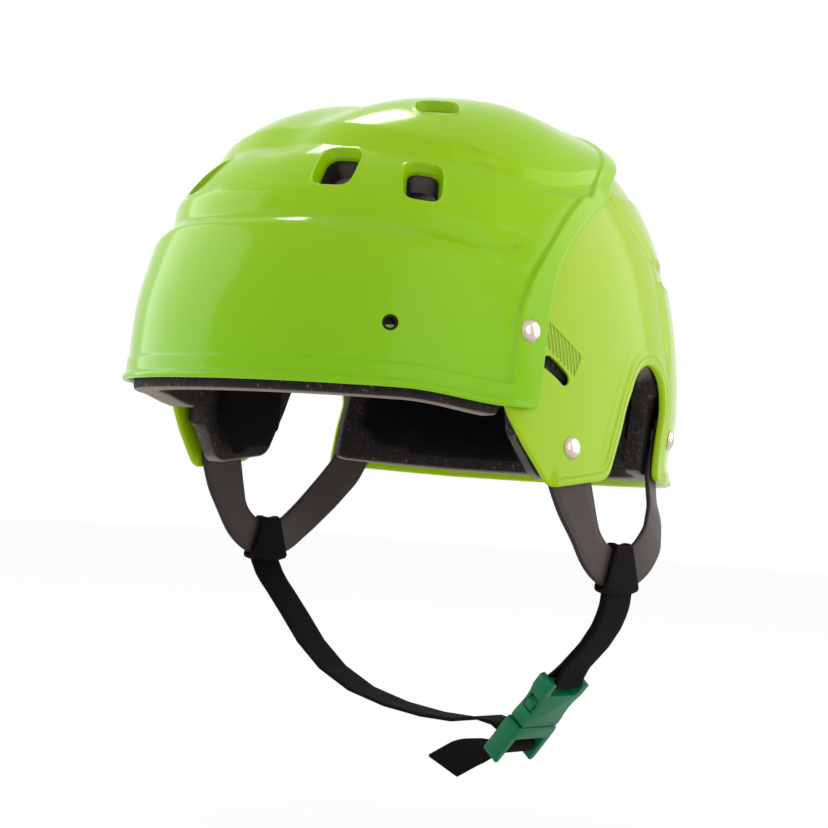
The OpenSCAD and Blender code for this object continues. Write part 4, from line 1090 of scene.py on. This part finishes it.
def mouldedPiece(name, parts, cuts=(), bevel=0.55):
    piece = addMesh(name, [(onBuckle(p), f) for p, f in parts], nylon)
    joinDoubles(piece, 1e-6, turn=True)
    for points, faces in cuts:
        tool = addMesh(name + "Cut", [(onBuckle(points), faces)], nylon)
        joinDoubles(tool, 1e-6, turn=True)
        addModifier(piece, "BOOLEAN", operation="DIFFERENCE", solver="EXACT", object=tool)
        applied(piece)
        bpy.data.objects.remove(tool)
    addModifier(piece, "BEVEL", width=bevel * 0.001, segments=3, limit_method="ANGLE", angle_limit=math.radians(35),
                harden_normals=False)
    piece.data.shade_smooth()
    return piece


def bothEdges(half):  # an outline from its upper edge as (along, half width) pairs
    half = np.asarray(half, float)
    return np.concatenate([half, half[::-1] * [1, -1]])


rail = [(-23, 10.6), (-23, 12.4), (-22.3, 13.3), (-20, 13.5), (-8, 13.5), (-4.5, 13.3), (-2.6, 12.6), (-2.6, 9.7),
        (-12, 9.9)]
plugParts = [slab(softOutline(rail, 0.45) * [1, side], -4.3, 4.3) for side in (1, -1)]
plugParts += [slab(softOutline(bothEdges([(-9.2, 9.5), (-9.0, 12.6), (-2.6, 12.4)]), 0.35), -4.45, 4.45),
              slab(softOutline(bothEdges([(-4.2, 2.6), (8.6, 2.6), (9.9, 1.7)]), 0.3), -2.2, 2.2),
              bar(barU, 1.9, 12.4)]
plug = mouldedPiece("bucklePlug", plugParts)
place(plug, "chin_strap", "buckle", "buckle_plug")

arm = [(-2.2, 6.7), (11.6, 6.8), (12.6, 7.9), (12.6, 9.4), (9.4, 11.7), (6.2, 11.7), (5.4, 11.2), (5.4, 9.9),
       (-1.0, 8.9), (-2.2, 8.3)]
for name, node, body, side in (("frontProng", "front_prong", "front_arm", -1),
                               ("rearProng", "rear_prong", "rear_arm", 1)):
    prong = mouldedPiece(name, [slab(softOutline(arm, 0.25) * [1, side], -2.2, 2.2)], bevel=0.4)
    place(prong, body, "buckle", node)

socketSet = dict(thick=4.0, edge=[(-2.2, 11.6), (-1.4, 12.0), (2.0, 11.9), (5.0, 11.2), (8.7, 10.9), (12.4, 11.4),
                                  (15.0, 12.4), (17.0, 13.2), (22.2, 13.2), (23.0, 12.2), (23.0, 10.2), (22.4, 9.5),
                                  (17.6, 9.4), (16.2, 8.6)])
sleeve = slab(softOutline(bothEdges(socketSet["edge"]), 0.4, 200), -socketSet["thick"], socketSet["thick"])
cavity = slab([(-4, -10.2), (14.6, -10.2), (14.6, 10.2), (-4, 10.2)], -2.6, 2.6)
windows = slab([(5.0, -20), (12.4, -20), (12.4, 20), (5.0, 20)], -2.62, 2.62)
socket = mouldedPiece("buckleSocket", [sleeve], [cavity, windows], 0.5)
endBar = mouldedPiece("socketEndBar", [bar(21.3, 1.6, 11.0)])
place(socket, "socket", "buckle", "buckle_socket")
place(endBar, "socket", "buckle", "buckle_socket")
print("buckle made")

# camera, lights, world and floor
viewSet = dict(az=41.6, el=-2.2, roll=3.6, distance=906.7, right=2.4, up=-5.25, lens=2040.8 / 828 * 36)
studioSet = dict(fill=0.62, floorGlow=0.93, floorDrop=25, floorHalf=4000)


def standing(right, up, back, spot):  # the matrix of a camera or lamp that looks against back
    return Matrix([[right[i], up[i], back[i], spot[i]] for i in range(3)] + [[0, 0, 0, 1]])


a, e, roll = (math.radians(viewSet[key]) for key in ("az", "el", "roll"))
back = np.array([math.sin(a) * math.cos(e), -math.cos(a) * math.cos(e), math.sin(e)])
flatRight = np.array([math.cos(a), math.sin(a), 0])
flatUp = unit(np.cross(back, flatRight))
right = flatRight * math.cos(roll) + flatUp * math.sin(roll)
up = flatUp * math.cos(roll) - flatRight * math.sin(roll)
spot = (back * viewSet["distance"] + right * viewSet["right"] + up * viewSet["up"]) * 0.001
view = bpy.data.cameras.new("view")
view.lens, view.sensor_width, view.clip_start = viewSet["lens"], 36, 0.05
camera = bpy.data.objects.new("view", view)
bpy.context.scene.collection.objects.link(camera)
camera.matrix_world = standing(right, up, back, spot)
bpy.context.scene.camera = camera

# each lamp: right, up and towards the view in metres, the height that it looks at, its size and its power
for name, (x, y, z), aim, size, power in (
        ("leftLight", (-1.40, 0.45, -0.38), 0.02, (1.5, 1.3), 12),
        ("rightLight", (1.40, 0.40, -0.15), 0, (1.4, 1.3), 9),
        ("frontLight", (0.80, 0.35, 1.20), 0, (1.0, 1.2), 3),
        ("topLight", (-0.26, 1.24, -0.72), 0.05, (0.34, 0.3), 6)):
    light = bpy.data.lights.new(name, "AREA")
    light.shape, light.size, light.size_y, light.energy = "RECTANGLE", *size, power
    lamp = bpy.data.objects.new(name, light)
    bpy.context.scene.collection.objects.link(lamp)
    spot = flatRight * x + np.array([0, 0, 1.0]) * y + back * z
    n = unit(spot - np.array([0, 0, aim]))
    r = unit(np.cross([0, 0, 1], n))
    lamp.matrix_world = standing(r, np.cross(n, r), n, spot)

world = bpy.data.worlds.new("studio")
bpy.context.scene.world = world
world.use_nodes = True
studio = Graph(world.node_tree)
paths = [studio.add("ShaderNodeLightPath", out="Is " + ray + " Ray") for ray in ("Camera", "Glossy", "Transmission")]
seen = paths[0].most(paths[1]).most(paths[2])
light = studio.add("ShaderNodeBackground", None,
                   {"Color": (1, 1, 1, 1), "Strength": seen * (1 - studioSet["fill"]) + studioSet["fill"]})
studio.add("ShaderNodeOutputWorld", None, {"Surface": light})

pale = Finish("paleFloor")
tone = pale.tint(pale.noise(300, 2), (0.88, 0.88, 0.88), (0.92, 0.92, 0.92))
matt = pale.add("ShaderNodeBsdfDiffuse", None, {"Color": tone})
glow = pale.add("ShaderNodeEmission", None, {"Color": (1, 1, 1, 1), "Strength": 1.0})
share = pale.add("ShaderNodeLightPath", out="Is Camera Ray") * studioSet["floorGlow"]
pale.add("ShaderNodeOutputMaterial", None, {"Surface": pale.add("ShaderNodeMixShader", None, [share, matt, glow])})
lowest, half = float(cadBounds[0][2]) * 1000 - studioSet["floorDrop"], studioSet["floorHalf"]
corners = [(x * half, y * half, lowest) for x, y in ((-1, -1), (1, -1), (1, 1), (-1, 1))]
floor = addMesh("floor", [(corners, [[0, 1, 2, 3]])], pale.material)
settings = bpy.context.scene.view_settings
settings.view_transform = "Standard"
print("scene lit")
